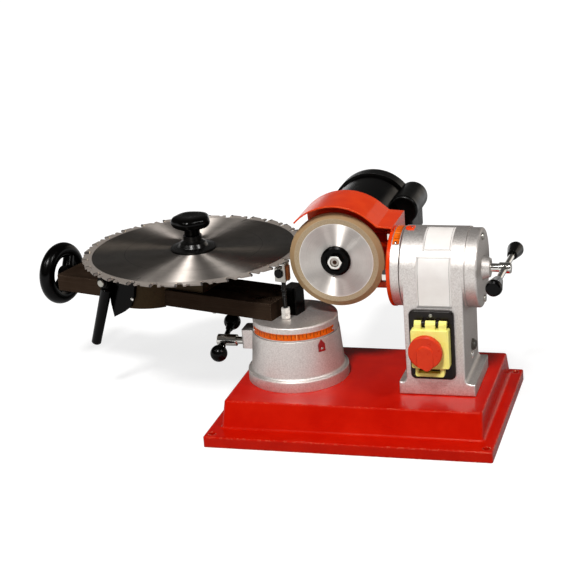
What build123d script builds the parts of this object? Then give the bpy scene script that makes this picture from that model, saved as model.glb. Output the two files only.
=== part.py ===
from build123d import *
import os
from math import atan, cos, degrees, radians, sin

# Bench grinder for circular saw blades: a cast base carries a turntable with a slide arm on the left
# and a column with a tilting grinding head on the right. Millimetres, Z up, X along the base to the
# right, Y to the back. The origin is the middle of the base's underside.

# Base
BASE_LENGTH = 370.0
BASE_DEPTH = 264.0
FLANGE_HEIGHT = 14.5
FLANGE_CORNER = 2.5
FLANGE_EDGE = 1.5
BOX_SHIFT_Y = 8.0
BOX_FOOT_LENGTH = 338.0
BOX_FOOT_DEPTH = 224.0
BOX_TOP_LENGTH = 334.0
BOX_TOP_DEPTH = 198.0
BOX_CORNER = 4.0
BOX_EDGE = 2.0
BOX_FOOT_FILLET = 3.5
BASE_TOP = 47.5
BASE_WALL = 6.0
BENCH_HOLE_SPAN_X = 352.0
BENCH_HOLE_SPAN_Y = 242.0
BENCH_HOLE_RADIUS = 4.5

# Swivel axis, tilt axis and spindle axis
SWIVEL_X = -93.5
AXIS_Y = 8.0
ARM_SWING = 15.3
TILT_Z = 202.0
WHEEL_X = -31.5
WHEEL_Z = 209.0

# Fits and fasteners
RUNNING = 0.05
SLACK = 0.1
GAP = 0.3
BOLT_RADIUS = 4.0
BOLT_HEAD_HEIGHT = 5.5

# Turntable
DRUM_FOOT_RADIUS = 66.5
DRUM_FOOT_TOP = 62.0
DRUM_LOW_RADIUS = 61.5
DRUM_TOP_RADIUS = 57.2
DRUM_TOP = 113.5
DISC_RADIUS = 56.0
DISC_BOTTOM = 114.0
DISC_TOP = 132.0
SPIGOT_RADIUS = 25.0
SPIGOT_BOTTOM = 58.0
LOCK_Z = 91.7
LOCK_RADIUS = 5.0
LOCK_HUB_RADIUS = 7.75
LOCK_BAR_X = -194.0
LOCK_BAR_HALF = 33.7
LOCK_BAR_SLIDE = 5.2
LOCK_BAR_TILT = 17.8
BALL_RADIUS = 11.4

# Slide arm, measured from the swivel axis along the arm
ARM_RIGHT = -14.0
ARM_LEFT = -365.0
ARM_HALF_WIDTH = 36.0
ARM_TOP = 155.3
SLOT_HALF_WIDTH = 10.2
SLOT_LEFT = -275.0
SLOT_RIGHT = -75.0
SLOT_FLOOR = 136.0
SCREW_Z = 143.5
SCREW_RADIUS = 6.0
ARM_BOLT_SINK = 6.3
ARM_BOLT_HEAD_RADIUS = 6.5
HANDWHEEL_X = -387.0
HANDWHEEL_RADIUS = 44.0
RIM_RADIUS = 10.8

# Carriage and saw blade
BLADE_X = -152.8
BLADE_RADIUS = 150.0
BLADE_THICKNESS = 2.2
BLADE_TOP = 205.6
TIP_THICKNESS = 3.2
TOOTH_COUNT = 28
BLADE_BORE_RADIUS = 15.0
SADDLE_X = -226.0
SADDLE_RADIUS = 58.0
SADDLE_BOTTOM = 131.0
SADDLE_TOP = 171.0
STUD_RADIUS = 6.0
LEVER_X = -252.8
LEVER_Z = 170.5
BRACKET_FRONT = -62.0
LEVER_FRONT = -77.2

# Tooth stop beside the swivel axis
STOP_ROD_X = -1.8
STOP_ROD_Y = -19.0
STOP_ROD_RADIUS = 3.0
STOP_BLOCK_LEFT = -11.5
STOP_BLOCK_BOTTOM = 183.5
STOP_BLOCK_TOP = 201.5
STOP_EDGE_LEFT = 0.4
STOP_EDGE_TOP = 208.5
STOP_RIGHT = 4.5
STOP_FRONT = -24.5
STOP_BACK = -12.5
FINGER_HALF = 3.0
FINGER_DEPTH = 1.5
FINGER_BOTTOM = 187.0
FINGER_TOP = 205.5
THUMB_X = -4.5
THUMB_Z = 195.0
THUMB_RADIUS = 6.0
THUMB_HEIGHT = 2.2
STOP_POST_RIGHT = 6.6
STOP_POST_FRONT = -6.3
STOP_POST_BACK = 16.0
STOP_POST_TOP = 169.5

# Head column
COLUMN_LEFT = 63.5
COLUMN_RIGHT = 138.5
COLUMN_FRONT = -44.0
COLUMN_BACK = 53.0
COLUMN_WALL = 11.0
COLUMN_FILLET = 7.0
COLUMN_EDGE = 2.0
FOOT_LEFT = 53.5
FOOT_RIGHT = 150.5
FOOT_BACK = 58.0
FOOT_TOP = 64.0
BARREL_RADIUS = 52.0
BARREL_LEFT = 59.6
BARREL_RIGHT = 141.0
QUILL_RADIUS = 30.0
COVER_RADIUS = 50.3
COVER_RIGHT = 156.4
BOSS_RIGHT = 166.0
TILT_ROD_RADIUS = 5.5
TILT_BAR_X = 184.0
TILT_BAR_HALF = 78.0
TILT_BAR_TILT = -3.3
GLAND_Y = 12.0
GLAND_Z = 96.5

# Grinding head
RING_LEFT = 47.6
RING_RIGHT = 58.6
RING_RADIUS = 50.4
HEAD_FLANGE_LEFT = 42.6
HEAD_FLANGE_RADIUS = 51.3
PLATE_FRONT = 58.0
PLATE_BACK = 66.0
GUARD_X = -30.0
GUARD_Z = 211.7
GUARD_RADIUS = 72.2
GUARD_SHEET = 2.0
GUARD_FRONT = -6.6
GUARD_LEFT_ANGLE = 137.0
GUARD_RIGHT_ANGLE = 54.5
GUARD_FOLD = (26.5, 258.4)
GUARD_CORNER = (46.0, 257.0)
MOTOR_RADIUS = 54.0
MOTOR_FRONT = 66.0
HOUSING_FRONT = 82.0
HOUSING_BACK = 206.0
FAN_COVER_RADIUS = 57.5
FAN_COVER_BACK = 238.0

# Grinding wheel
WHEEL_RADIUS = 62.5
CORE_RADIUS = 48.9
BEVEL_RADIUS = 55.5
WHEEL_FRONT = 1.5
WHEEL_BACK = 11.5
NUT_SEAT = -0.5
NUT_HEIGHT = 7.0
SHAFT_END = -6.0
SPINDLE_RADIUS = 6.0
BEARING_BORE_RADIUS = 7.5
BEARING_RADIUS = 17.5
BEARING_WIDTH = 11.0

# Switch on the front of the column
SWITCH_X = 98.7
SWITCH_LOW = 71.0
SWITCH_HIGH = 163.0
SWITCH_HALF_WIDTH = 28.5
SWITCH_SCREW = 1.25
PLATE_FACE = -49.0
COVER_FACE = -62.0
COVER_LOW = 91.0
COVER_HIGH = 142.0
COVER_HALF_WIDTH = 24.0
HINGE_Y = -54.5
HINGE_Z = 149.0
HINGE_KNUCKLES = ((-15.0, 4.4), (1.0, 6.3), (16.5, 5.0))
HINGE_EARS = ((-7.95, 2.2), (9.4, 1.7))
PADDLE_X = 94.5
PADDLE_Z = 116.0
PADDLE_RADIUS = 21.5
BUTTON_RADIUS = 7.0

# Places that several pieces share: the arm's own frame, the tilt axis and the spindle axis, each with
# its local Z (arm: X) along the line that the pieces are turned about
ARM = Pos(SWIVEL_X, AXIS_Y, 0) * Rot(0, 0, -ARM_SWING)
SWIVEL = Pos(SWIVEL_X, AXIS_Y, 0)
TILT = Pos(0, AXIS_Y, TILT_Z) * Rot(0, 90, 0)
SPINDLE = Pos(WHEEL_X, 0, WHEEL_Z) * Rot(-90, 0, 0)


def block(x0, x1, y0, y1, z0, z1):
    """Rectangular block between two corners."""
    middle = Pos((x0 + x1) / 2, (y0 + y1) / 2, (z0 + z1) / 2)
    return middle * Box(x1 - x0, y1 - y0, z1 - z0)


def rod_x(x0, x1, y, z, radius):
    """Round bar along X."""
    return Pos((x0 + x1) / 2, y, z) * Rot(0, 90, 0) * Cylinder(radius, x1 - x0)


def rod_y(y0, y1, x, z, radius):
    """Round bar along Y."""
    return Pos(x, (y0 + y1) / 2, z) * Rot(90, 0, 0) * Cylinder(radius, y1 - y0)


def rod_z(z0, z1, x, y, radius):
    """Round bar along Z."""
    return Pos(x, y, (z0 + z1) / 2) * Cylinder(radius, z1 - z0)


def turned(points):
    """Solid of revolution about Z from a closed outline of (radius, height) points."""
    outline = Plane.XZ * make_face(Polyline(*points, close=True))
    return revolve(outline, Axis.Z)


def ring_sector(r0, r1, z0, z1, start, sweep):
    """Piece of a flat ring about Z, from the angle start and over the angle sweep."""
    outline = Plane.XZ * make_face(Polyline((r0, z0), (r1, z0), (r1, z1), (r0, z1), close=True))
    return Rot(0, 0, start) * revolve(outline, Axis.Z, sweep)


def hex_prism(height, across_flats):
    """Hexagonal prism standing on the XY plane."""
    return extrude(RegularPolygon(across_flats / 2, 6, major_radius=False), height)


def edges_at(solid, axis, position):
    """Edges of a solid that lie whole at one height of an axis."""
    return solid.edges().filter_by_position(axis, position - 0.01, position + 0.01)


def base_casting():
    """Hollow cast base: bench flange, drafted box, four bench holes and the columns' bolt holes."""
    flange = extrude(RectangleRounded(BASE_LENGTH, BASE_DEPTH, FLANGE_CORNER), FLANGE_HEIGHT)
    flange = fillet(edges_at(flange, Axis.Z, FLANGE_HEIGHT), FLANGE_EDGE)
    foot = RectangleRounded(BOX_FOOT_LENGTH, BOX_FOOT_DEPTH, BOX_CORNER)
    top = RectangleRounded(BOX_TOP_LENGTH, BOX_TOP_DEPTH, BOX_CORNER)
    box = loft([Pos(0, BOX_SHIFT_Y, FLANGE_HEIGHT) * foot, Pos(0, BOX_SHIFT_Y, BASE_TOP) * top])
    casting = flange + fillet(edges_at(box, Axis.Z, BASE_TOP), BOX_EDGE)
    seam = [edge for edge in edges_at(casting, Axis.Z, FLANGE_HEIGHT)
            if abs(edge.center().X) < BOX_FOOT_LENGTH / 2 + 1
            and abs(edge.center().Y - BOX_SHIFT_Y) < BOX_FOOT_DEPTH / 2 + 1]
    casting = fillet(seam, BOX_FOOT_FILLET)
    wall = 2 * BASE_WALL
    mouth = Pos(0, BOX_SHIFT_Y, 0) * Rectangle(BOX_FOOT_LENGTH - wall, BOX_FOOT_DEPTH - wall)
    roof = Pos(0, BOX_SHIFT_Y, BASE_TOP - BASE_WALL)
    roof = roof * Rectangle(BOX_TOP_LENGTH - wall, BOX_TOP_DEPTH - wall)
    casting -= loft([mouth, roof])
    for x in (-BENCH_HOLE_SPAN_X / 2, BENCH_HOLE_SPAN_X / 2):
        for y in (-BENCH_HOLE_SPAN_Y / 2, BENCH_HOLE_SPAN_Y / 2):
            casting -= rod_z(-1, FLANGE_HEIGHT + 1, x, y, BENCH_HOLE_RADIUS)
    for x, y in column_bolt_places():
        casting -= rod_z(BASE_TOP - BASE_WALL - 1, BASE_TOP + 1, x, y, BOLT_RADIUS + SLACK)
    return casting


def column_bolt_places():
    """Middles of the bolts that hold both columns to the base from below."""
    circle = 56.0
    drum = [(SWIVEL_X + circle * cos(radians(a)), AXIS_Y + circle * sin(radians(a)))
            for a in (45, 135, 225, 315)]
    inset = 13.0
    foot = [(x, y) for x in (FOOT_LEFT + inset, FOOT_RIGHT - inset)
            for y in (COLUMN_FRONT + inset, FOOT_BACK - inset)]
    return drum + foot


def column_bolts():
    """Hex bolts screwed up through the roof of the base into the two columns."""
    roof = BASE_TOP - BASE_WALL
    depth = 11.0
    bolts = []
    for x, y in column_bolt_places():
        head = Pos(x, y, roof - BOLT_HEAD_HEIGHT) * hex_prism(BOLT_HEAD_HEIGHT, 13)
        bolts.append(head + rod_z(roof - 1, BASE_TOP + depth, x, y, BOLT_RADIUS))
    return Compound(bolts)


def drum_radius(z):
    """Radius of the tapered drum of the turntable column at a height."""
    share = (z - DRUM_FOOT_TOP) / (DRUM_TOP - DRUM_FOOT_TOP)
    return DRUM_LOW_RADIUS + share * (DRUM_TOP_RADIUS - DRUM_LOW_RADIUS)


def turntable_column():
    """Tapered hollow drum with a foot flange, the clamp lug on its left and the bore for the disc."""
    drum = turned([(0, BASE_TOP), (DRUM_FOOT_RADIUS, BASE_TOP), (DRUM_FOOT_RADIUS, DRUM_FOOT_TOP),
                   (DRUM_LOW_RADIUS, DRUM_FOOT_TOP), (DRUM_TOP_RADIUS, DRUM_TOP), (0, DRUM_TOP)])
    inner_corner = edges_at(drum, Axis.Z, DRUM_FOOT_TOP).sort_by(SortBy.LENGTH)
    drum = fillet(inner_corner[0], 3)
    drum = fillet(edges_at(drum, Axis.Z, DRUM_FOOT_TOP).sort_by(SortBy.LENGTH)[-1], 1.5)
    lug_left = -71.7
    lug_half = 14.0
    lug = block(lug_left, -45, -lug_half, lug_half, 86, 111.5)
    lug = fillet(lug.edges().filter_by(Axis.Z), 3)
    column = SWIVEL * (drum + lug)
    column -= SWIVEL * rod_z(SPIGOT_BOTTOM - 1, DRUM_TOP + 1, 0, 0, SPIGOT_RADIUS + RUNNING)
    column -= SWIVEL * turned([(33, BASE_TOP - 1), (50, BASE_TOP - 1), (50, 78), (33, 78)])
    column -= rod_x(SWIVEL_X + lug_left - 1, SWIVEL_X, AXIS_Y, LOCK_Z, LOCK_RADIUS + RUNNING)
    for x, y in column_bolt_places()[:4]:
        column -= rod_z(BASE_TOP - 1, BASE_TOP + 12, x, y, BOLT_RADIUS + SLACK)
    return column


def swivel_pointer():
    """Pointed index plate screwed to the drum under the swivel scale."""
    azimuth = 49.0
    foot = 96.5
    half = 5.0
    shoulder = 106.0
    tip = 112.5
    outline = make_face(Polyline((-half, foot), (half, foot), (half, shoulder), (0, tip),
                                 (-half, shoulder), close=True))
    plate = extrude(Plane.XZ * outline, 1.2)
    slope = degrees(atan((DRUM_LOW_RADIUS - DRUM_TOP_RADIUS) / (DRUM_TOP - DRUM_FOOT_TOP)))
    lean = Pos(0, 0, foot) * Rot(-slope, 0, 0) * Pos(0, 0, -foot)
    return SWIVEL * Rot(0, 0, azimuth) * Pos(0, -drum_radius(foot) - 0.02, 0) * lean * plate


def swivel_lock_screw():
    """Clamp screw of the turntable with a thicker hub outside for its cross bar."""
    hub_left = -203.5
    hub_right = -176.5
    tip = SWIVEL_X - SPIGOT_RADIUS - GAP
    hub = rod_x(hub_left, hub_right, AXIS_Y, LOCK_Z, LOCK_HUB_RADIUS)
    hub = chamfer(edges_at(hub, Axis.X, hub_left), 1.2)
    screw = hub + rod_x(hub_right - 1, tip, AXIS_Y, LOCK_Z, LOCK_RADIUS)
    return screw - swivel_bar_line() * Cylinder(3.5 + SLACK, 40)


def swivel_bar_line():
    """Middle of the turntable's cross bar, slid to the back; local Z runs along the bar, up at the back."""
    return Pos(LOCK_BAR_X, AXIS_Y, LOCK_Z) * Rot(LOCK_BAR_TILT - 90, 0, 0) * Pos(0, 0, LOCK_BAR_SLIDE)


def swivel_lock_bar():
    """Cross bar through the hub, its ends inside the balls."""
    return swivel_bar_line() * Cylinder(3.5, 2 * LOCK_BAR_HALF + 4)


def swivel_lock_balls():
    """Two plastic balls with a short collar, bored for the cross bar."""
    bore_end = LOCK_BAR_HALF + 2.2
    balls = []
    for turn in (0, 180):
        ball = Pos(0, 0, LOCK_BAR_HALF) * Sphere(BALL_RADIUS)
        collar_low = LOCK_BAR_HALF - 16.0
        collar = Pos(0, 0, (collar_low + LOCK_BAR_HALF) / 2)
        ball += collar * Cone(5, 7.5, LOCK_BAR_HALF - collar_low)
        ball -= Pos(0, 0, bore_end / 2) * Cylinder(3.5 + SLACK, bore_end)
        balls.append(swivel_bar_line() * Rot(turn, 0, 0) * ball)
    return Compound(balls)


def turntable_disc():
    """Turning disc with a spigot that runs in the drum."""
    disc = turned([(0, SPIGOT_BOTTOM), (SPIGOT_RADIUS, SPIGOT_BOTTOM), (SPIGOT_RADIUS, DISC_BOTTOM),
                   (DISC_RADIUS, DISC_BOTTOM), (DISC_RADIUS, DISC_TOP), (0, DISC_TOP)])
    disc = fillet(edges_at(disc, Axis.Z, DISC_TOP), 2)
    disc = SWIVEL * disc
    for x, y in arm_bolt_places():
        disc -= ARM * rod_z(DISC_TOP - 14, DISC_TOP + 1, x, y, BOLT_RADIUS + SLACK)
    disc -= ARM * rod_z(DISC_TOP - 10, DISC_TOP + 1, STOP_ROD_X, STOP_ROD_Y, STOP_ROD_RADIUS + SLACK)
    return disc


def swivel_scale():
    """Curved scale plate round the front of the turning disc."""
    plate = ring_sector(DISC_RADIUS + 0.02, DISC_RADIUS + 0.7, 115.6, 124, -149, 135)
    return SWIVEL * plate


def arm_bolt_places():
    """Middles of the screws that hold the arm to the disc, in the arm's frame."""
    return [(x, y) for x in (-41, -23) for y in (-18, 18)]


def slide_arm():
    """Straight flat bar with a slot along its top for the lead screw and the carriage's half nut."""
    bar = block(ARM_LEFT, ARM_RIGHT, -ARM_HALF_WIDTH, ARM_HALF_WIDTH, DISC_TOP, ARM_TOP)
    bar = chamfer(bar.edges().filter_by(Axis.X), 0.8)
    bar -= block(SLOT_LEFT, SLOT_RIGHT, -SLOT_HALF_WIDTH, SLOT_HALF_WIDTH, SLOT_FLOOR, ARM_TOP + 1)
    bar -= rod_x(ARM_LEFT - 1, SLOT_LEFT + 1, 0, SCREW_Z, SCREW_RADIUS + RUNNING)
    bar -= rod_x(SLOT_RIGHT - 1, SLOT_RIGHT + 16, 0, SCREW_Z, 4 + RUNNING)
    for x, y in arm_bolt_places():
        bar -= rod_z(DISC_TOP - 1, ARM_TOP + 1, x, y, BOLT_RADIUS + SLACK)
        bar -= rod_z(ARM_TOP - ARM_BOLT_SINK, ARM_TOP + 1, x, y, ARM_BOLT_HEAD_RADIUS + GAP)
    return ARM * bar


def arm_bolts():
    """Socket screws down through the arm into the disc, with their heads sunk in the arm."""
    seat = ARM_TOP - ARM_BOLT_SINK
    bolts = []
    for x, y in arm_bolt_places():
        head = rod_z(seat, seat + BOLT_HEAD_HEIGHT, x, y, ARM_BOLT_HEAD_RADIUS)
        socket = Pos(x, y, seat + 2) * hex_prism(BOLT_HEAD_HEIGHT, 6)
        bolts.append(head - socket + rod_z(DISC_TOP - 13, seat + 1, x, y, BOLT_RADIUS))
    return ARM * Compound(bolts)


def lead_screw():
    """Screw along the slot, with a journal at each end and the handwheel's seat outside."""
    body = rod_x(HANDWHEEL_X + 1.5, SLOT_RIGHT - 3, 0, SCREW_Z, SCREW_RADIUS)
    return ARM * (body + rod_x(SLOT_RIGHT - 4, SLOT_RIGHT + 15, 0, SCREW_Z, 4))


def handwheel():
    """Moulded handwheel: round rim, two dished spokes and a hub bored for the lead screw."""
    rim_middle = HANDWHEEL_RADIUS - RIM_RADIUS
    section = Plane.XZ * Pos(rim_middle, 0) * Circle(RIM_RADIUS)
    wheel = revolve(section, Axis.Z)
    hub_left = 1.0
    hub_right = 17.0
    wheel += turned([(0, hub_left), (11, hub_left), (13, hub_right), (0, hub_right)])
    dish = degrees(atan(hub_right / 2 / rim_middle))
    for turn in (140, 320):
        spoke = Pos(rim_middle / 2, 0, hub_right / 4) * Rot(0, 90 + dish, 0) * Cylinder(8, rim_middle)
        wheel += Rot(0, 0, turn) * spoke
    wheel -= Pos(0, 0, hub_right / 2) * Cylinder(SCREW_RADIUS + SLACK, 2 * hub_right)
    return ARM * Pos(HANDWHEEL_X, 0, SCREW_Z) * Rot(0, 90, 0) * wheel


def blade_carriage():
    """Round saddle that straddles the arm, a half nut in the slot and the boss under the blade."""
    saddle = rod_z(SADDLE_BOTTOM, SADDLE_TOP, SADDLE_X, 0, SADDLE_RADIUS)
    deck_bottom = ARM_TOP + GAP
    saddle += block(SADDLE_X, BLADE_X + 30, -30, 30, deck_bottom, SADDLE_TOP)
    side = ARM_HALF_WIDTH + GAP
    saddle -= block(SADDLE_X - 60, SADDLE_X + 60, -side, side, SADDLE_BOTTOM - 1, deck_bottom)
    nut_half = SLOT_HALF_WIDTH - GAP
    saddle += block(-200, -150, -nut_half, nut_half, SCREW_Z + 0.5, deck_bottom + 1)
    saddle -= rod_x(-260, -120, 0, SCREW_Z, SCREW_RADIUS + GAP)
    saddle += Pos(BLADE_X, 0, SADDLE_TOP - 1) * extrude(Circle(22), 18, taper=6)
    saddle -= rod_z(SADDLE_TOP - 8, SADDLE_TOP + 30, BLADE_X, 0, 9 + SLACK)
    saddle = fillet(edges_at(saddle, Axis.Z, SADDLE_TOP).filter_by(GeomType.CIRCLE), 1.5)
    return ARM * saddle


def blade_post():
    """Turned post: shank in the boss, seat flange, centring spigot and threaded stud."""
    low = SADDLE_TOP - 8
    seat = BLADE_TOP - BLADE_THICKNESS - SLACK
    boss_top = SADDLE_TOP + 17
    spigot_top = BLADE_TOP - 0.4
    post = turned([(0, low), (9, low), (9, boss_top), (14, boss_top), (14, seat - 7),
                   (30, seat - 7), (30, seat), (BLADE_BORE_RADIUS, seat),
                   (BLADE_BORE_RADIUS, spigot_top), (STUD_RADIUS, spigot_top),
                   (STUD_RADIUS, 244), (0, 244)])
    return ARM * Pos(BLADE_X, 0, 0) * post


def blade_point(turn, radius):
    """Point of the blade's outline in the blade's own plane."""
    return (radius * cos(radians(turn)), radius * sin(radians(turn)))


def saw_blade():
    """Saw blade: each tooth has a tip, a long back, a notch, a narrow limiter and the next gullet."""
    pitch = 360 / TOOTH_COUNT
    tooth = [(0, 0), (-5.9, 2.2), (-6.4, 5.4), (-7.7, 5.4), (-8, 1.6), (-9.4, 1), (-9.8, 6), (-10.6, 10.8),
             (-11.6, 11.6), (-12.6, 10.6), (-0.5 - pitch, 8.2)]
    outline = []
    for k in range(TOOTH_COUNT):
        outline += [blade_point(a - k * pitch, BLADE_RADIUS - drop) for a, drop in tooth]
    plate = extrude(make_face(Polyline(*outline, close=True)), BLADE_THICKNESS)
    for k in range(TOOTH_COUNT):
        tip = Pos(BLADE_RADIUS - 4.4, -1.1, BLADE_THICKNESS / 2) * Box(7.6, 2.2, TIP_THICKNESS)
        plate += Rot(0, 0, k * pitch) * tip
    plate -= Cylinder(BLADE_BORE_RADIUS + RUNNING, 20)
    return ARM * Pos(BLADE_X, 0, BLADE_TOP - BLADE_THICKNESS) * plate


def clamp_flange():
    """Turned flange with a conical back that the knob presses on the blade."""
    cone = turned([(STUD_RADIUS + RUNNING, 0), (30.5, 0), (30.5, 3), (20, 4.5), (17, 9.5),
                   (12.5, 12.5), (12.5, 19), (STUD_RADIUS + RUNNING, 19)])
    return ARM * Pos(BLADE_X, 0, BLADE_TOP) * cone


def clamp_knob():
    """Lobed hand knob on the stud."""
    bottom = 225.0
    head_low = 236.0
    top = 252.0
    neck = Pos(0, 0, bottom) * extrude(Circle(10.5), head_low - bottom + 2)
    outline = Circle(24)
    for turn in range(0, 360, 72):
        outline += Rot(0, 0, turn) * Pos(17.5, 0) * Circle(10)
    head = Pos(0, 0, head_low) * extrude(outline, top - head_low)
    head = fillet(edges_at(head, Axis.Z, top), 4)
    knob = neck + head - rod_z(bottom - 1, 245, 0, 0, STUD_RADIUS + RUNNING)
    return ARM * Pos(BLADE_X, 0, 0) * knob


def clamp_bracket():
    """Black bracket on the saddle's nose, with a pointed lower edge and the lever's pivot lug."""
    back = -44.0
    outline = make_face(Polyline((-261, 179), (-261, 163), (-254, 158), (-254, 136), (-250.5, 116.6),
                                 (-234, 125.3), (-221, 134.8), (-214, 148.7), (-210, 172), (-214, 179),
                                 close=True))
    plate = Pos(0, back, 0) * extrude(Plane.XZ * outline, back - BRACKET_FRONT)
    plate -= rod_z(100, 200, SADDLE_X, 0, SADDLE_RADIUS + 0.02)
    plate -= rod_y(BRACKET_FRONT - 1, back + 1, LEVER_X, LEVER_Z, BOLT_RADIUS + SLACK)
    return ARM * plate


def clamp_lever_screw():
    """Bright shoulder screw in the bracket that the clamp lever turns on."""
    head_back = LEVER_FRONT - GAP
    head_front = head_back - 4
    shank = rod_y(head_back - 1, -54, LEVER_X, LEVER_Z, BOLT_RADIUS)
    head = rod_y(head_front, head_back, LEVER_X, LEVER_Z, 5)
    return ARM * (shank + chamfer(edges_at(head, Axis.Y, head_front), 0.8))


def lever_line():
    """Place of the lever's grip beside its pivot: local Z runs down along the grip."""
    lean = 19.2
    offset = 4.0
    middle = (LEVER_FRONT + BRACKET_FRONT - GAP) / 2
    return Pos(LEVER_X + offset, middle, LEVER_Z) * Rot(0, 180 + lean, 0)


def clamp_lever():
    """Lever hub on its screw with a steel rod that carries the grip."""
    back = BRACKET_FRONT - GAP
    hub = rod_y(LEVER_FRONT, back, LEVER_X, LEVER_Z, 8)
    rod = lever_line() * Pos(0, 0, 28) * Cylinder(3.5, 56)
    lever = hub + rod - rod_y(LEVER_FRONT - 1, back + 1, LEVER_X, LEVER_Z, BOLT_RADIUS + RUNNING)
    return ARM * lever


def lever_grip():
    """Round plastic grip, tapered to its end, on the lever's rod."""
    start = 11.0
    end = 99.0
    grip = turned([(0, start), (6, start), (7.6, start + 1.6), (6.6, end - 1.6), (5, end), (0, end)])
    grip -= Pos(0, 0, start + 22.6) * Cylinder(3.5 + SLACK, 46)
    return ARM * lever_line() * grip


def stop_post():
    """Black bracket on the disc behind the tooth stop, at the end of the arm."""
    post = block(ARM_RIGHT + 2, STOP_POST_RIGHT, STOP_POST_FRONT, STOP_POST_BACK, DISC_TOP, STOP_POST_TOP)
    return ARM * chamfer(post.edges().filter_by(Axis.Z), 1)


def stop_rod():
    """Threaded rod that carries the tooth stop."""
    return ARM * rod_z(DISC_TOP - 9, STOP_BLOCK_BOTTOM + 5, STOP_ROD_X, STOP_ROD_Y, STOP_ROD_RADIUS)


def stop_nuts():
    """Two tall lock nuts stacked on the disc, chamfered at both ends."""
    height = 7.6
    blank = hex_prism(height, 11)
    blank = chamfer(edges_at(blank, Axis.Z, 0) + edges_at(blank, Axis.Z, height), 0.9)
    nut = blank - Cylinder(STOP_ROD_RADIUS + SLACK, 3 * height)
    nuts = []
    for bottom in (DISC_TOP, DISC_TOP + height):
        nuts.append(Pos(STOP_ROD_X, STOP_ROD_Y, bottom) * nut)
    return ARM * Compound(nuts)


def stop_block():
    """Bright block on the rod and a riser bar on its top, outside the blade, both grooved for the finger."""
    holder = block(STOP_BLOCK_LEFT, STOP_RIGHT, STOP_FRONT, STOP_BACK, STOP_BLOCK_BOTTOM, STOP_BLOCK_TOP)
    holder = chamfer(holder.edges().filter_by(Axis.Z), 0.6)
    riser = block(STOP_EDGE_LEFT, STOP_RIGHT, STOP_FRONT, STOP_BACK, STOP_BLOCK_TOP, STOP_EDGE_TOP)
    riser = chamfer(riser.edges().filter_by(Axis.Z), 0.6)
    half = FINGER_HALF + 0.2
    groove = block(STOP_RIGHT - FINGER_DEPTH, STOP_RIGHT + 1, STOP_ROD_Y - half, STOP_ROD_Y + half,
                   STOP_BLOCK_BOTTOM - 1, STOP_EDGE_TOP + 1)
    holder -= rod_z(STOP_BLOCK_BOTTOM - 1, STOP_BLOCK_BOTTOM + 6, STOP_ROD_X, STOP_ROD_Y,
                    STOP_ROD_RADIUS + SLACK)
    holder -= rod_y(STOP_FRONT - 1, STOP_ROD_Y, THUMB_X, THUMB_Z, 2.5 + RUNNING)
    return ARM * Compound([holder - groove, riser - groove])


def stop_finger():
    """Flat brass finger that stands in the groove beside the teeth."""
    finger = block(STOP_RIGHT - FINGER_DEPTH + 0.2, STOP_RIGHT + 3, STOP_ROD_Y - FINGER_HALF,
                   STOP_ROD_Y + FINGER_HALF, FINGER_BOTTOM, FINGER_TOP)
    return ARM * finger


def stop_thumb_screw():
    """Flat thumb screw on the front of the stop block."""
    head_back = STOP_FRONT - GAP
    head_front = head_back - THUMB_HEIGHT
    head = rod_y(head_front, head_back, THUMB_X, THUMB_Z, THUMB_RADIUS)
    head = fillet(edges_at(head, Axis.Y, head_front), 0.8)
    return ARM * (head + rod_y(head_back - 1, STOP_ROD_Y - 1, THUMB_X, THUMB_Z, 2.5))


def motor_column():
    """Hollow head column: foot, square column with a switch opening and the barrel across its top."""
    foot = Pos((FOOT_LEFT + FOOT_RIGHT) / 2, (BASE_TOP + FOOT_TOP) / 2)
    foot = foot * Rectangle(FOOT_RIGHT - FOOT_LEFT, FOOT_TOP - BASE_TOP)
    shaft = Pos((COLUMN_LEFT + COLUMN_RIGHT) / 2, (FOOT_TOP + TILT_Z) / 2)
    shaft = shaft * Rectangle(COLUMN_RIGHT - COLUMN_LEFT, TILT_Z - FOOT_TOP)
    outline = foot + shaft
    shoulders = [v for v in outline.vertices() if abs(v.Y - FOOT_TOP) < 0.1]
    inner = [v for v in shoulders if COLUMN_LEFT - 1 < v.X < COLUMN_RIGHT + 1]
    outline = fillet(inner, COLUMN_FILLET)
    column = extrude(Pos(0, COLUMN_BACK, 0) * Rot(90, 0, 0) * outline, COLUMN_BACK - COLUMN_FRONT)
    column = fillet(edges_at(column, Axis.Y, COLUMN_FRONT), COLUMN_EDGE)
    ledge = block(FOOT_LEFT, FOOT_RIGHT, COLUMN_BACK - 20, FOOT_BACK, BASE_TOP, FOOT_TOP)
    column += fillet(ledge.edges().filter_by(Axis.Z).sort_by(Axis.Y)[-2:], 3)
    barrel = rod_x(BARREL_LEFT, BARREL_RIGHT, AXIS_Y, TILT_Z, BARREL_RADIUS)
    column += fillet(edges_at(barrel, Axis.X, BARREL_LEFT), 1.5)
    column -= rod_x(BARREL_LEFT - 1, BARREL_RIGHT + 1, AXIS_Y, TILT_Z, QUILL_RADIUS + RUNNING)
    column -= block(COLUMN_LEFT + COLUMN_WALL, COLUMN_RIGHT - COLUMN_WALL, COLUMN_FRONT + COLUMN_WALL,
                    COLUMN_BACK - COLUMN_WALL, BASE_TOP - 1, SWITCH_HIGH - 20)
    column -= block(SWITCH_X - 23, SWITCH_X + 23, COLUMN_FRONT - 1, 0, SWITCH_LOW + 9, SWITCH_HIGH - 21)
    column -= rod_x(SWITCH_X, COLUMN_RIGHT + 1, GLAND_Y, GLAND_Z, 6 + SLACK)
    for x, y in column_bolt_places()[4:]:
        column -= rod_z(BASE_TOP - 1, BASE_TOP + 12, x, y, BOLT_RADIUS + SLACK)
    for z in cover_screw_heights():
        column -= rod_x(BARREL_RIGHT - 9, BARREL_RIGHT + 1, AXIS_Y, z, 2.5 + SLACK)
    return column


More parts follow.
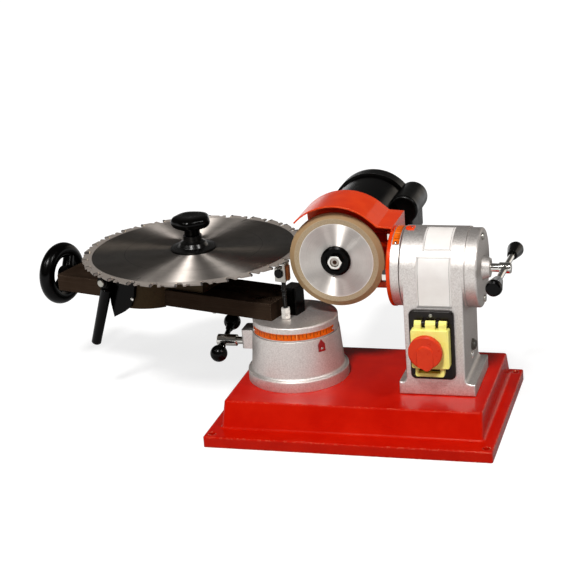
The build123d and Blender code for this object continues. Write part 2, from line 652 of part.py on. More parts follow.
def cable_gland():
    """Screwed cable gland low on the right of the column."""
    inner = COLUMN_RIGHT - 10
    outer = COLUMN_RIGHT + 5
    body = rod_x(inner, outer, GLAND_Y, GLAND_Z, 6)
    body = fillet(edges_at(body, Axis.X, outer), 1)
    collar = Pos(COLUMN_RIGHT, GLAND_Y, GLAND_Z) * Rot(0, 90, 0) * hex_prism(2.5, 14)
    return body + collar - rod_x(inner - 1, outer + 1, GLAND_Y, GLAND_Z, 3.5)


def cover_screw_heights():
    """Heights of the two screws of the barrel cover."""
    return (TILT_Z - 41, TILT_Z + 41)


def barrel_cover():
    """Turned end cover of the barrel with a tapered boss that the tilt lock rod leaves by."""
    bore = TILT_ROD_RADIUS + GAP
    cover = turned([(bore, BARREL_RIGHT + 0.1), (COVER_RADIUS, BARREL_RIGHT + 0.1),
                    (COVER_RADIUS, COVER_RIGHT), (15.5, COVER_RIGHT), (12, BOSS_RIGHT),
                    (bore, BOSS_RIGHT)])
    rim = edges_at(cover, Axis.Z, COVER_RIGHT).sort_by(SortBy.LENGTH)[-1]
    cover = TILT * fillet(rim, 2.5)
    for z in cover_screw_heights():
        cover -= rod_x(BARREL_RIGHT - 1, COVER_RIGHT + 1, AXIS_Y, z, 2.5 + SLACK)
    return cover


def pan_screw(length, shank):
    """Pan-head screw along Z with its head on the XY plane and its shank below, by the shank's radius."""
    height = 1.12 * shank
    head = Pos(0, 0, height / 2) * Cylinder(1.8 * shank, height)
    head = fillet(edges_at(head, Axis.Z, height), 0.48 * shank)
    slot = Pos(0, 0, height) * Box(4 * shank, 0.48 * shank, 0.96 * shank)
    return head - slot + Pos(0, 0, -length / 2) * Cylinder(shank, length)


def panel_screws():
    """Pan-head screws of the barrel cover and of the switch."""
    length = 22.0
    screws = [Pos(COVER_RIGHT, AXIS_Y, z) * Rot(0, 90, 0) * pan_screw(length, 2.5)
              for z in cover_screw_heights()]
    screws.append(Pos(SWITCH_X, PLATE_FACE, SWITCH_HIGH - 6) * Rot(90, 0, 0) * pan_screw(4, SWITCH_SCREW))
    return Compound(screws)


def tilt_lock_screw():
    """Draw rod that pulls the quill into the barrel, with a thicker eye for its cross bar."""
    eye = rod_x(TILT_BAR_X - 7, TILT_BAR_X + 8, AXIS_Y, TILT_Z, 7)
    eye = fillet(edges_at(eye, Axis.X, TILT_BAR_X + 8), 2)
    screw = rod_x(104, TILT_BAR_X, AXIS_Y, TILT_Z, TILT_ROD_RADIUS) + eye
    return screw - tilt_bar_line() * Cylinder(4 + SLACK, 40)


def tilt_bar_line():
    """Place of the tilt lock's cross bar, with local Z along the bar to the back."""
    return Pos(TILT_BAR_X, AXIS_Y, TILT_Z) * Rot(TILT_BAR_TILT - 90, 0, 0)


def tilt_lock_bar():
    """Cross bar through the eye of the draw rod."""
    return tilt_bar_line() * Cylinder(4, 2 * TILT_BAR_HALF + 10)


def tilt_lock_knobs():
    """Two tapered plastic knobs, widest at their outer ends, bored for the cross bar."""
    start = TILT_BAR_HALF - 19.0
    end = TILT_BAR_HALF + 17.0
    bore_end = TILT_BAR_HALF + 5.2
    knobs = []
    for turn in (0, 180):
        knob = turned([(0, start), (6.5, start), (10.5, end - 7), (9.5, end - 1.5), (7.5, end), (0, end)])
        knob -= Pos(0, 0, bore_end / 2) * Cylinder(4 + SLACK, bore_end)
        knobs.append(tilt_bar_line() * Rot(turn, 0, 0) * knob)
    return Compound(knobs)


def tilt_ring():
    """Scale ring with the quill that turns in the barrel and takes the draw rod."""
    quill_end = BARREL_RIGHT - 3
    ring = turned([(0, RING_LEFT), (RING_RADIUS, RING_LEFT), (RING_RADIUS, RING_RIGHT),
                   (QUILL_RADIUS, RING_RIGHT), (QUILL_RADIUS, quill_end), (0, quill_end)])
    ring = TILT * ring
    ring -= rod_x(103, quill_end + 1, AXIS_Y, TILT_Z, TILT_ROD_RADIUS + RUNNING)
    for y, z in flange_bolt_places():
        ring -= rod_x(RING_LEFT - 1, RING_LEFT + 9, y, z, BOLT_RADIUS + SLACK)
    return ring


def tilt_scale():
    """Curved scale plate over the top of the tilt ring."""
    sweep = 80.0
    plate = ring_sector(RING_RADIUS + 0.02, RING_RADIUS + 0.7, 49, 57.5, 180 - sweep / 2, sweep)
    return TILT * plate


def flange_bolt_places():
    """Middles (y, z) of the bolts between the red flange and the tilt ring."""
    circle = 40.0
    return [(AXIS_Y + circle * cos(radians(a)), TILT_Z + circle * sin(radians(a)))
            for a in (0, 90, 180, 270)]


def flange_bolts():
    """Hex bolts from the wheel side through the red flange into the tilt ring."""
    bolts = []
    for y, z in flange_bolt_places():
        head = Pos(HEAD_FLANGE_LEFT - BOLT_HEAD_HEIGHT, y, z) * Rot(0, 90, 0)
        bolts.append(head * hex_prism(BOLT_HEAD_HEIGHT, 13)
                     + rod_x(HEAD_FLANGE_LEFT - 1, RING_LEFT + 8, y, z, BOLT_RADIUS))
    return Compound(bolts)


def guard_point(angle, radius):
    """Point (x, z) of the guard's arc round the wheel."""
    return (GUARD_X + radius * cos(radians(angle)), GUARD_Z + radius * sin(radians(angle)))


def guard_arc(radius, start, end):
    """Arc of the guard between two angles."""
    middle = (start + end) / 2
    return ThreePointArc(guard_point(start, radius), guard_point(middle, radius), guard_point(end, radius))


def motor_bracket():
    """Welded bracket: round flange on the tilt ring, motor plate behind the wheel and two webs."""
    left = guard_point(GUARD_LEFT_ANGLE, GUARD_RADIUS)
    arc = guard_arc(GUARD_RADIUS, GUARD_LEFT_ANGLE, GUARD_RIGHT_ANGLE)
    rest = Polyline(guard_point(GUARD_RIGHT_ANGLE, GUARD_RADIUS), GUARD_FOLD, GUARD_CORNER,
                    (GUARD_CORNER[0], 170), (30, 153), (-58, 153), (-78, 192), left)
    outline = make_face([arc, rest])
    plate = Pos(0, PLATE_BACK, 0) * extrude(Plane.XZ * outline, PLATE_BACK - PLATE_FRONT)
    plate -= rod_y(PLATE_FRONT - 1, PLATE_BACK + 1, WHEEL_X, WHEEL_Z, 20)
    flange = turned([(0, HEAD_FLANGE_LEFT), (HEAD_FLANGE_RADIUS, HEAD_FLANGE_LEFT),
                     (HEAD_FLANGE_RADIUS, RING_LEFT), (0, RING_LEFT)])
    flange = TILT * fillet(edges_at(flange, Axis.Z, HEAD_FLANGE_LEFT), 2)
    bracket = plate + flange
    for z in (172, 226):
        bracket += block(8, HEAD_FLANGE_LEFT + 1, 20, PLATE_FRONT + 1, z - 3, z + 3)
    for y, z in flange_bolt_places():
        bracket -= rod_x(HEAD_FLANGE_LEFT - 1, RING_LEFT + 1, y, z, BOLT_RADIUS + SLACK)
    return bracket


def wheel_guard():
    """Bent sheet hood over the wheel, from its left tip over two folds to the closed right end."""
    inner = GUARD_RADIUS - GUARD_SHEET
    skirt = 222.0
    fold_x, fold_z = GUARD_FOLD
    corner_x, corner_z = GUARD_CORNER
    inside_x = corner_x - GUARD_SHEET
    outer_arc = guard_arc(GUARD_RADIUS, GUARD_LEFT_ANGLE, GUARD_RIGHT_ANGLE)
    inner_arc = guard_arc(inner, GUARD_LEFT_ANGLE, GUARD_RIGHT_ANGLE)
    path = Polyline(outer_arc @ 1, GUARD_FOLD, GUARD_CORNER, (corner_x, skirt), (inside_x, skirt),
                    (inside_x, corner_z - GUARD_SHEET), (fold_x - 0.8, fold_z - GUARD_SHEET),
                    inner_arc @ 1)
    outline = make_face([outer_arc, path, inner_arc, Line(inner_arc @ 0, outer_arc @ 0)])
    sheet = Pos(0, PLATE_FRONT, 0) * extrude(Plane.XZ * outline, PLATE_FRONT - GUARD_FRONT)
    sheet -= TILT * Pos(0, 0, RING_LEFT) * Cylinder(HEAD_FLANGE_RADIUS + 0.1, 40)
    return sheet.solids().sort_by(SortBy.VOLUME)[-1]


def motor_end_cover():
    """Domed front cover of the motor, bolted to the motor plate, with the front bearing's seat."""
    seat = MOTOR_FRONT + 4
    cover = turned([(9, MOTOR_FRONT), (40, MOTOR_FRONT), (50, MOTOR_FRONT + 5),
                    (MOTOR_RADIUS, HOUSING_FRONT - 4), (MOTOR_RADIUS, HOUSING_FRONT),
                    (BEARING_RADIUS, HOUSING_FRONT), (BEARING_RADIUS, seat), (9, seat)])
    return SPINDLE * cover


def motor_housing():
    """Round motor housing with a rear wall for the second bearing."""
    wall = 5.0
    rear = HOUSING_BACK - 9
    housing = turned([(MOTOR_RADIUS - wall, HOUSING_FRONT), (MOTOR_RADIUS, HOUSING_FRONT),
                      (MOTOR_RADIUS, HOUSING_BACK), (BEARING_RADIUS, HOUSING_BACK),
                      (BEARING_RADIUS, rear), (MOTOR_RADIUS - wall, rear)])
    return SPINDLE * housing


def fan_cover():
    """Moulded fan cover, a little wider than the housing, with slots in its back."""
    sheet = 2.5
    back = FAN_COVER_BACK
    inner_back = back - sheet
    bulge = FAN_COVER_RADIUS
    cover = turned([(MOTOR_RADIUS - 6, HOUSING_BACK), (bulge, HOUSING_BACK), (bulge, back - 10),
                    (bulge - 3, back - 3), (bulge - 10, back), (0, back), (0, inner_back),
                    (bulge - 12, inner_back), (bulge - sheet - 2, back - 10),
                    (bulge - sheet - 2, HOUSING_BACK + 4), (MOTOR_RADIUS - 6, HOUSING_BACK + 4)])
    for turn in range(0, 360, 30):
        slot = Pos(29, 0, back) * Box(26, 5, 12)
        cover -= Rot(0, 0, turn) * slot
    return SPINDLE * cover


def capacitor_cover():
    """Closed moulding for the run capacitor, saddled on the housing and the fan cover."""
    middle_x = 24.0
    middle_z = 230.0
    radius = 20.0
    front = 154.0
    back = 224.0
    cover = rod_y(front, back, middle_x, middle_z, radius)
    cover += block(middle_x - 10, middle_x + 12, front, back, 190, middle_z)
    cover = fillet(edges_at(cover, Axis.Y, front), 4)
    cover -= rod_y(front - 1, HOUSING_BACK, WHEEL_X, WHEEL_Z, MOTOR_RADIUS + 0.02)
    cover -= rod_y(HOUSING_BACK - 0.02, back + 1, WHEEL_X, WHEEL_Z, FAN_COVER_RADIUS + 0.02)
    return cover


def stator():
    """Stator pack pressed into the housing, with its winding heads."""
    inner = 30.6
    pack = turned([(inner, 108), (48.9, 108), (48.9, 168), (inner, 168)])
    for start in (94, 168):
        pack += turned([(33, start), (45, start), (45, start + 14), (33, start + 14)])
    return SPINDLE * pack


def ball_bearings():
    """Front and rear ball bearings as closed rings."""
    rings = []
    for start in (MOTOR_FRONT + 4, HOUSING_BACK - 9):
        width = BEARING_WIDTH if start < HOUSING_FRONT else 9.0
        ring = turned([(BEARING_BORE_RADIUS + RUNNING, start), (BEARING_RADIUS - RUNNING, start),
                       (BEARING_RADIUS - RUNNING, start + width),
                       (BEARING_BORE_RADIUS + RUNNING, start + width)])
        rings.append(SPINDLE * ring)
    return Compound(rings)


def motor_shaft():
    """Stepped motor shaft from the wheel nut's thread to the fan."""
    shoulder = WHEEL_BACK + 5.5
    shaft = turned([(0, SHAFT_END), (SPINDLE_RADIUS - 1, SHAFT_END), (SPINDLE_RADIUS, SHAFT_END + 1),
                    (SPINDLE_RADIUS, shoulder), (8.5, shoulder), (8.5, MOTOR_FRONT - 2),
                    (BEARING_BORE_RADIUS, MOTOR_FRONT - 2), (BEARING_BORE_RADIUS, 226), (0, 226)])
    return SPINDLE * shaft


def rotor():
    """Rotor pack pressed on the shaft."""
    bore = BEARING_BORE_RADIUS + 0.02
    return SPINDLE * turned([(bore, 108), (30, 108), (30, 168), (bore, 168)])


def cooling_fan():
    """Moulded fan with straight blades on the rear end of the shaft."""
    front = 212.0
    back = 226.0
    fan = turned([(0, front), (14, front), (14, back), (0, back)])
    for turn in range(0, 360, 45):
        blade = Pos(29, 0, (front + back) / 2) * Box(34, 2.5, back - front)
        fan += Rot(0, 0, turn) * blade
    fan -= Pos(0, 0, (front + back) / 2) * Cylinder(BEARING_BORE_RADIUS + 0.02, 40)
    return SPINDLE * fan


def wheel_inner_flange():
    """Flange that the wheel is clamped against."""
    bore = SPINDLE_RADIUS + 0.02
    back = WHEEL_BACK + 5.5
    return SPINDLE * turned([(bore, WHEEL_BACK), (22, WHEEL_BACK), (22, back - 2), (14, back), (bore, back)])


def wheel_core():
    """Aluminium core of the grinding wheel."""
    bore = SPINDLE_RADIUS + 0.02
    return SPINDLE * turned([(bore, WHEEL_FRONT), (CORE_RADIUS, WHEEL_FRONT), (CORE_RADIUS, WHEEL_BACK),
                             (bore, WHEEL_BACK)])


def abrasive_rim():
    """Bonded abrasive rim with a bevelled front."""
    inner = CORE_RADIUS + 0.02
    return SPINDLE * turned([(inner, WHEEL_FRONT), (BEVEL_RADIUS, WHEEL_FRONT),
                             (WHEEL_RADIUS, WHEEL_FRONT + 4), (WHEEL_RADIUS, WHEEL_FRONT + 7),
                             (BEVEL_RADIUS, WHEEL_BACK), (inner, WHEEL_BACK)])


def wheel_washer():
    """Dished outer clamping washer of the wheel."""
    bore = SPINDLE_RADIUS + 0.02
    front = WHEEL_FRONT - 5
    return SPINDLE * turned([(bore, NUT_SEAT), (12.5, NUT_SEAT), (12.5, front), (17, front),
                             (19.5, front + 2), (19.5, WHEEL_FRONT), (bore, WHEEL_FRONT)])


def wheel_nut():
    """Hex nut of the spindle."""
    front = NUT_SEAT - NUT_HEIGHT
    nut = Pos(0, 0, front) * hex_prism(NUT_HEIGHT, 17)
    crown = turned([(0, front - 1), (7.4, front - 1), (12.4, front + 2.5), (12.4, NUT_SEAT), (0, NUT_SEAT)])
    return SPINDLE * ((nut & crown) - Cylinder(SPINDLE_RADIUS + 0.02, 60))


def switch_box():
    """Switch housing: front plate on the column and the contact box in its pocket."""
    plate = block(SWITCH_X - SWITCH_HALF_WIDTH, SWITCH_X + SWITCH_HALF_WIDTH, PLATE_FACE,
                  COLUMN_FRONT, SWITCH_LOW, SWITCH_HIGH)
    plate = fillet(plate.edges().filter_by(Axis.Y), 7)
    plate = fillet(edges_at(plate, Axis.Y, PLATE_FACE), 2.5)
    housing = plate + block(SWITCH_X - 22, SWITCH_X + 22, COLUMN_FRONT - 1, 2, 81, 141)
    for x, half in HINGE_EARS:
        ear_left = SWITCH_X + x - half
        ear_right = SWITCH_X + x + half
        ear = block(ear_left, ear_right, HINGE_Y, PLATE_FACE + 1, HINGE_Z - 3.5, HINGE_Z + 3.5)
        housing += ear + rod_x(ear_left, ear_right, HINGE_Y, HINGE_Z, 3.5)
    housing -= rod_x(SWITCH_X - 30, SWITCH_X + 30, HINGE_Y, HINGE_Z, 1.5 + SLACK)
    for z, _ in button_rows():
        housing -= rod_y(PLATE_FACE - 1, PLATE_FACE + 16, PADDLE_X, z, BUTTON_RADIUS + GAP)
    screw_hole = Cylinder(SWITCH_SCREW + SLACK, 8.2)
    return housing - Pos(SWITCH_X, PLATE_FACE, SWITCH_HIGH - 6) * Rot(90, 0, 0) * screw_hole


def button_rows():
    """Height and front of the start and the stop button."""
    return ((131.5, PLATE_FACE - 3), (PADDLE_Z, PLATE_FACE - 4))


def push_button(row):
    """Round push button in its well."""
    z, front = button_rows()[row]
    button = rod_y(front, PLATE_FACE + 9, PADDLE_X, z, BUTTON_RADIUS)
    return fillet(edges_at(button, Axis.Y, front), 1)


def hinge_pin():
    """Pin of the switch cover's hinge."""
    left, left_half = HINGE_KNUCKLES[0]
    right, right_half = HINGE_KNUCKLES[-1]
    return rod_x(SWITCH_X + left - left_half, SWITCH_X + right + right_half, HINGE_Y, HINGE_Z, 1.5)


def switch_cover():
    """Hinged cover with three knuckles above and a latch bar below."""
    skin = 2.0
    left = SWITCH_X - COVER_HALF_WIDTH
    right = SWITCH_X + COVER_HALF_WIDTH
    back = PLATE_FACE - 0.5
    shell = block(left, right, COVER_FACE, back, COVER_LOW, COVER_HIGH)
    shell = fillet(shell.edges().filter_by(Axis.Y), 3)
    shell = fillet(edges_at(shell, Axis.Y, COVER_FACE), 1)
    shell -= block(left + skin, right - skin, COVER_FACE + skin, back + 1, COVER_LOW + skin,
                   COVER_HIGH - skin)
    for x, half in HINGE_KNUCKLES:
        knuckle_left = SWITCH_X + x - half
        knuckle_right = SWITCH_X + x + half
        arm = block(knuckle_left, knuckle_right, COVER_FACE + 2, HINGE_Y, COVER_HIGH - 1, HINGE_Z)
        shell += arm + rod_x(knuckle_left, knuckle_right, HINGE_Y, HINGE_Z, 3.5)
    latch_left = SWITCH_X - 20
    latch_right = SWITCH_X + 16.5
    latch = block(latch_left, latch_right, COVER_FACE + 3, back, 79, COVER_LOW + 1)
    latch = fillet(latch.edges().filter_by(Axis.Y), 3)
    latch -= block(latch_left + 4, latch_right - 5, COVER_FACE, back + 1, 83.5, COVER_LOW - 1.5)
    shell += latch
    shell -= rod_x(left - 1, right + 1, HINGE_Y, HINGE_Z, 1.5 + RUNNING)
    return shell - rod_y(COVER_FACE - 1, COVER_FACE + 5, PADDLE_X, PADDLE_Z, 5 + RUNNING)


def stop_paddle():
    """Round stop paddle with a tongue below and a stem through the cover to the stop button."""
    back = COVER_FACE - 4.4
    front = back - 7
    tongue = make_face(Polyline((-17, -13), (17, -13), (8, -24), (-4, -24), close=True))
    outline = Pos(PADDLE_X, PADDLE_Z) * (Circle(PADDLE_RADIUS) + tongue)
    face = Pos(0, back, 0) * extrude(Plane.XZ * outline, back - front)
    face = fillet(edges_at(face, Axis.Y, front), 2)
    raised = Pos(0, front + 1, 0) * extrude(Plane.XZ * Pos(PADDLE_X, PADDLE_Z) * Circle(10), 3)
    button_front = button_rows()[1][1]
    return face + raised + rod_y(back - 1, button_front - GAP, PADDLE_X, PADDLE_Z, 5)


NODES = {
    "base_casting": base_casting, "column_bolts": column_bolts,
    "turntable_column": turntable_column, "swivel_pointer": swivel_pointer,
    "swivel_lock_screw": swivel_lock_screw, "swivel_lock_bar": swivel_lock_bar,
    "swivel_lock_balls": swivel_lock_balls,
    "turntable_disc": turntable_disc, "swivel_scale": swivel_scale,
    "slide_arm": slide_arm, "arm_bolts": arm_bolts, "lead_screw": lead_screw, "handwheel": handwheel,
    "blade_carriage": blade_carriage, "blade_post": blade_post, "saw_blade": saw_blade,
    "clamp_flange": clamp_flange, "clamp_knob": clamp_knob, "clamp_bracket": clamp_bracket,
    "clamp_lever_screw": clamp_lever_screw, "clamp_lever": clamp_lever, "lever_grip": lever_grip,
    "stop_post": stop_post, "stop_rod": stop_rod, "stop_nuts": stop_nuts, "stop_block": stop_block,
    "stop_finger": stop_finger, "stop_thumb_screw": stop_thumb_screw,
    "motor_column": motor_column, "cable_gland": cable_gland, "barrel_cover": barrel_cover,
    "panel_screws": panel_screws, "tilt_lock_screw": tilt_lock_screw, "tilt_lock_bar": tilt_lock_bar,
    "tilt_lock_knobs": tilt_lock_knobs, "tilt_ring": tilt_ring, "tilt_scale": tilt_scale,
    "flange_bolts": flange_bolts, "motor_bracket": motor_bracket, "wheel_guard": wheel_guard,
    "motor_end_cover": motor_end_cover, "motor_housing": motor_housing, "fan_cover": fan_cover,
    "capacitor_cover": capacitor_cover, "stator": stator, "ball_bearings": ball_bearings,
    "motor_shaft": motor_shaft, "rotor": rotor, "cooling_fan": cooling_fan,
    "wheel_inner_flange": wheel_inner_flange, "wheel_core": wheel_core, "abrasive_rim": abrasive_rim,
    "wheel_washer": wheel_washer, "wheel_nut": wheel_nut,
    "switch_box": switch_box, "start_button": lambda: push_button(0),
    "stop_button": lambda: push_button(1), "hinge_pin": hinge_pin, "switch_cover": switch_cover,
    "stop_paddle": stop_paddle,
}

os.makedirs("parts", exist_ok=True)
for name, make in NODES.items():
    export_step(make(), f"parts/{name}.step")
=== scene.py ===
from math import pi, radians

import bmesh
import bpy
import numpy as np
from mathutils import Matrix, Vector


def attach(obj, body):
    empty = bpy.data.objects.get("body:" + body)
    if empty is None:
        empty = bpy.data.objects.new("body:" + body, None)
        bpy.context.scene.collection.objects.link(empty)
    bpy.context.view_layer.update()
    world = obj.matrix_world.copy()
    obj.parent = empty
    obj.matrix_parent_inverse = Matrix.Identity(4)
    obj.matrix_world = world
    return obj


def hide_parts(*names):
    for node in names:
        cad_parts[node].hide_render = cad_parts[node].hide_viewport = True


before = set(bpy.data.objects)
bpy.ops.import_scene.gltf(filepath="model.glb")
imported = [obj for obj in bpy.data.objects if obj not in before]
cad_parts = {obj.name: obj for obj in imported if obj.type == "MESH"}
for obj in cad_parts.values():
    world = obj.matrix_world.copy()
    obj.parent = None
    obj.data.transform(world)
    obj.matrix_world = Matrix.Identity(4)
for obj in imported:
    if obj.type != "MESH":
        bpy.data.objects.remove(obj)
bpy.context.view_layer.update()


# Base casting: the hollow grey-iron foot of the machine, with a bench flange round it. It is sprayed
# with thick red gloss enamel, which lies a little wavy on the cast skin and is chipped along the edges;
# the pale dashes along the edges are partly chips and partly painted highlights.

def tone(red, green, blue):
    """Linear colour of a paint-chart value: each share of 255 to the power 2.2."""
    return (*(float((part / 255) ** 2.2) for part in (red, green, blue)), 1.0)


def feed(tree, socket, source):
    """Link a node's first live output, or a socket, into a socket; a plain value is set on it."""
    if isinstance(source, bpy.types.Node):
        source = next(out for out in source.outputs if out.enabled)
    if isinstance(source, bpy.types.NodeSocket):
        tree.links.new(source, socket)
    else:
        socket.default_value = source


def add(tree, kind, *feeds, **named):
    """New node: feeds go into its inputs in order (None skips one). Of the named values, those with a
    capital go into the input of that name, and the others are the node's own settings."""
    node = tree.nodes.new("ShaderNode" + kind)
    for key, value in named.items():
        if key[0].islower():
            setattr(node, key, value)
    for socket, source in zip(node.inputs, feeds):
        if source is not None:
            feed(tree, socket, source)
    for key, value in named.items():
        if key[0].isupper():
            feed(tree, node.inputs[key], value)
    return node


def maths(tree, operation, *values):
    """One sum or comparison of up to three values."""
    return add(tree, "Math", *values, operation=operation)


def ramp(tree, value, start, end, low=0.0, high=1.0):
    """Run a value that goes from start to end over to low and high, and hold it there beyond both."""
    return add(tree, "MapRange", value, start, end, low, high)


def between(tree, share, low, high):
    """Colour between two, by a share from 0 to 1. They are the node's seventh and eighth inputs."""
    return add(tree, "Mix", share, None, None, None, None, None, low, high, data_type="RGBA")


def edge_share(tree, width):
    """Share from 0 on flats to 1 on corners: how far the normal, averaged over a width, leans away from
    that of the face, by the cosine between both."""
    flat_lean, corner_lean = 0.985, 0.86
    rounded = add(tree, "Bevel", width, samples=6)
    facing = add(tree, "NewGeometry").outputs["True Normal"]
    lean = add(tree, "VectorMath", rounded, facing, operation="DOT_PRODUCT").outputs["Value"]
    return ramp(tree, lean, flat_lean, corner_lean)


def finish(name, dark, light, patch, rough, grain, depth, edge, sockets=None):
    """Finish in two tones. Noise patches of a size in metres run the colour from dark to light and the
    roughness between two values; a finer grain dents the surface by depth, and edge rounds its corners.
    Sockets are values for the shader. Gives the material, its tree, the shader, the place on the object
    and the colour."""
    patch_low, patch_high = 0.34, 0.66
    material = bpy.data.materials.new(name)
    material.use_nodes = True
    tree = material.node_tree
    shader = tree.nodes["Principled BSDF"]
    for socket, value in (sockets or {}).items():
        shader.inputs[socket].default_value = value
    place = add(tree, "TexCoord").outputs["Object"]
    patches = add(tree, "TexNoise", place, Scale=1 / patch, Detail=3.0, Roughness=0.55)
    colour = between(tree, ramp(tree, patches, patch_low, patch_high), dark, light)
    feed(tree, shader.inputs["Base Color"], colour)
    feed(tree, shader.inputs["Roughness"], ramp(tree, patches, patch_low, patch_high, *rough))
    grains = add(tree, "TexNoise", place, Scale=1 / grain, Detail=2.0, Roughness=0.5)
    rounded = add(tree, "Bevel", edge, samples=4)
    dents = add(tree, "Bump", Strength=1.0, Distance=depth, Height=grains, Normal=rounded)
    feed(tree, shader.inputs["Normal"], dents)
    return material, tree, shader, place, colour


def dress(material, *names):
    """Give CAD nodes a finish, in every material slot that they have."""
    for name in names:
        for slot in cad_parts[name].material_slots:
            slot.material = material


def enamel(name, dark, light, chip_and_glint, edge, gloss):
    """Gloss enamel with a fine orange peel. Dashes of a paler tone lie where noise is high along the edges,
    as wide as edge in metres: partly chipped paint, partly painted highlights on the edges. Gloss holds the
    shader's specular sockets."""
    dash_start, dash_full, dash_share = 0.5, 0.56, 0.8
    material, tree, shader, place, colour = finish(
        name, dark, light, patch=0.03, rough=(0.17, 0.24), grain=0.0018, depth=0.00006, edge=edge,
        sockets=gloss)
    specks = add(tree, "TexNoise", place, Scale=260.0, Detail=3.0, Roughness=0.6)
    # Pale dashes on the edges: partly chipped paint, partly a painted highlight where the edges catch
    # light.
    chips_and_glints = ramp(tree, specks, dash_start, dash_full, 0.0, dash_share)
    worn = maths(tree, "MULTIPLY", chips_and_glints, edge_share(tree, edge))
    feed(tree, shader.inputs["Base Color"], between(tree, worn, colour, chip_and_glint))
    return material


red_enamel = enamel("red_enamel", tone(180, 21, 5), tone(190, 26, 7), chip_and_glint=tone(240, 168, 130), edge=0.0026,
                    gloss={"Specular IOR Level": 0.27, "Specular Tint": (1.0, 0.65, 0.5, 1.0)})
dress(red_enamel, "base_casting")


# Column bolts: hex bolts of zinc-plated steel with rolled threads. They are put in from below, through
# the roof of the base into both columns.

zinc = finish("zinc_plate", tone(150, 148, 140), tone(186, 184, 176), patch=0.006, rough=(0.3, 0.45),
              grain=0.0012, depth=0.00002, edge=0.0004, sockets={"Metallic": 1.0})[0]
dress(zinc, "column_bolts")


# Turntable column: a tapered cast drum with a foot ring and a clamp lug, bolted to the base. The casting
# is sprayed with silver hammer paint, which dries in small soft cells with a fine metal fleck.

def hammer_paint(name, dark, light):
    """Silver paint: soft cells about two millimetres wide dent it, fine flecks lie in the film, and a paler
    tone on its corners is a painted highlight. Seen flat on it is bright, and it darkens towards its
    outline."""
    cell = 0.0018
    fleck_core, fleck_rim, fleck_share = 0.12, 0.34, 0.5
    edge_band_width, highlight_share = 0.0012, 0.7
    flop = {"Metallic": 0.92, "Specular IOR Level": 0.0, "Specular Tint": (0.05, 0.05, 0.05, 1.0)}
    material, tree, shader, place, colour = finish(
        name, dark, light, patch=cell, rough=(0.43, 0.53), grain=cell, depth=0.00006, edge=0.0014,
        sockets=flop)
    flecks = add(tree, "TexVoronoi", place, Scale=1100.0)
    fleck = ramp(tree, flecks, fleck_core, fleck_rim, fleck_share, 0.0)
    # Painted highlight: the corners are mixed towards a near-white tone, as if they caught the light.
    painted_edge_highlight = maths(tree, "MULTIPLY", edge_share(tree, edge_band_width), highlight_share)
    bright = maths(tree, "MAXIMUM", fleck, painted_edge_highlight)
    feed(tree, shader.inputs["Base Color"], between(tree, bright, colour, tone(244, 240, 236)))
    return material


silver_paint = hammer_paint("silver_paint", tone(216, 209, 204), tone(240, 235, 231))
dress(silver_paint, "turntable_column")


# Swivel pointer: a small house-shaped index plate, stamped from sheet and lacquered dark red. One round
# slotted screw holds it to the drum, under the swivel scale.

def grid_faces(rows, columns, ring=False):
    """Faces of a grid of points, by four corner numbers each; ring joins the last column to the first."""
    index = np.arange(rows * columns).reshape(rows, columns)
    if ring:
        index = np.hstack([index, index[:, :1]])
    return np.stack([index[:-1, :-1], index[:-1, 1:], index[1:, 1:], index[1:, :-1]], -1).reshape(-1, 4)


def shell(name, grid, body, material, ring=False):
    """Piece from a grid of points (rows, columns, xyz) in metres, one face per cell. Points that meet
    are welded, faces look outwards, and corners over the crease stay sharp."""
    weld = 2e-6
    crease = radians(35)
    mesh = bpy.data.meshes.new(name)
    mesh.from_pydata(grid.reshape(-1, 3).tolist(), [], grid_faces(*grid.shape[:2], ring).tolist())
    skin = bmesh.new()
    skin.from_mesh(mesh)
    bmesh.ops.remove_doubles(skin, verts=skin.verts, dist=weld)
    bmesh.ops.recalc_face_normals(skin, faces=skin.faces)
    skin.to_mesh(mesh)
    skin.free()
    mesh.shade_smooth()
    mesh.set_sharp_from_angle(angle=crease)
    mesh.materials.append(material)
    piece = bpy.data.objects.new(name, mesh)
    bpy.context.scene.collection.objects.link(piece)
    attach(piece, body)
    return piece


def stood(points, seat, axis):
    """Points in millimetres, to metres: local Z is turned to an axis, and the zero is put on a seat."""
    turn = np.array(Vector(axis).to_track_quat("Z", "Y").to_matrix())
    return (points @ turn.T + np.array(seat)) / 1000


def slotted_head(radius, height):
    """Round slotted screw head on the XY plane. A square grid (u, v) is pressed into a disc by
    x = u * sqrt(1 - v*v/2), y = v * sqrt(1 - u*u/2); its height is a dome of 1 - fall * r*r, and it drops
    inside the slot. The border goes down into the seat and meets below."""
    slot, flank, slot_depth = 0.15, 0.02, 0.42
    fall = 0.55
    sunk = -0.3
    side = np.linspace(slot + flank, 1, 8)
    u, v = np.meshgrid(np.concatenate([-side[::-1], [-slot, slot], side]), np.linspace(-1, 1, 21))
    x = u * np.sqrt(1 - v * v / 2)
    y = v * np.sqrt(1 - u * u / 2)
    z = height * (1 - fall * (x * x + y * y)) - np.where(np.abs(u) <= slot, slot_depth * height, 0)
    head = np.stack([x * radius, y * radius, z], -1)
    for border in ("edge", "constant"):
        head = np.pad(head, ((1, 1), (1, 1), (0, 0)), mode=border)
        head[[0, -1], :, 2] = sunk
        head[:, [0, -1], 2] = sunk
    return head


def small_screw(name, radius, height, seat, axis, body):
    """Chromed slotted screw: its head stands on a seat, in millimetres, and looks along an axis."""
    shell(name, stood(slotted_head(radius, height), seat, axis), body, chrome)


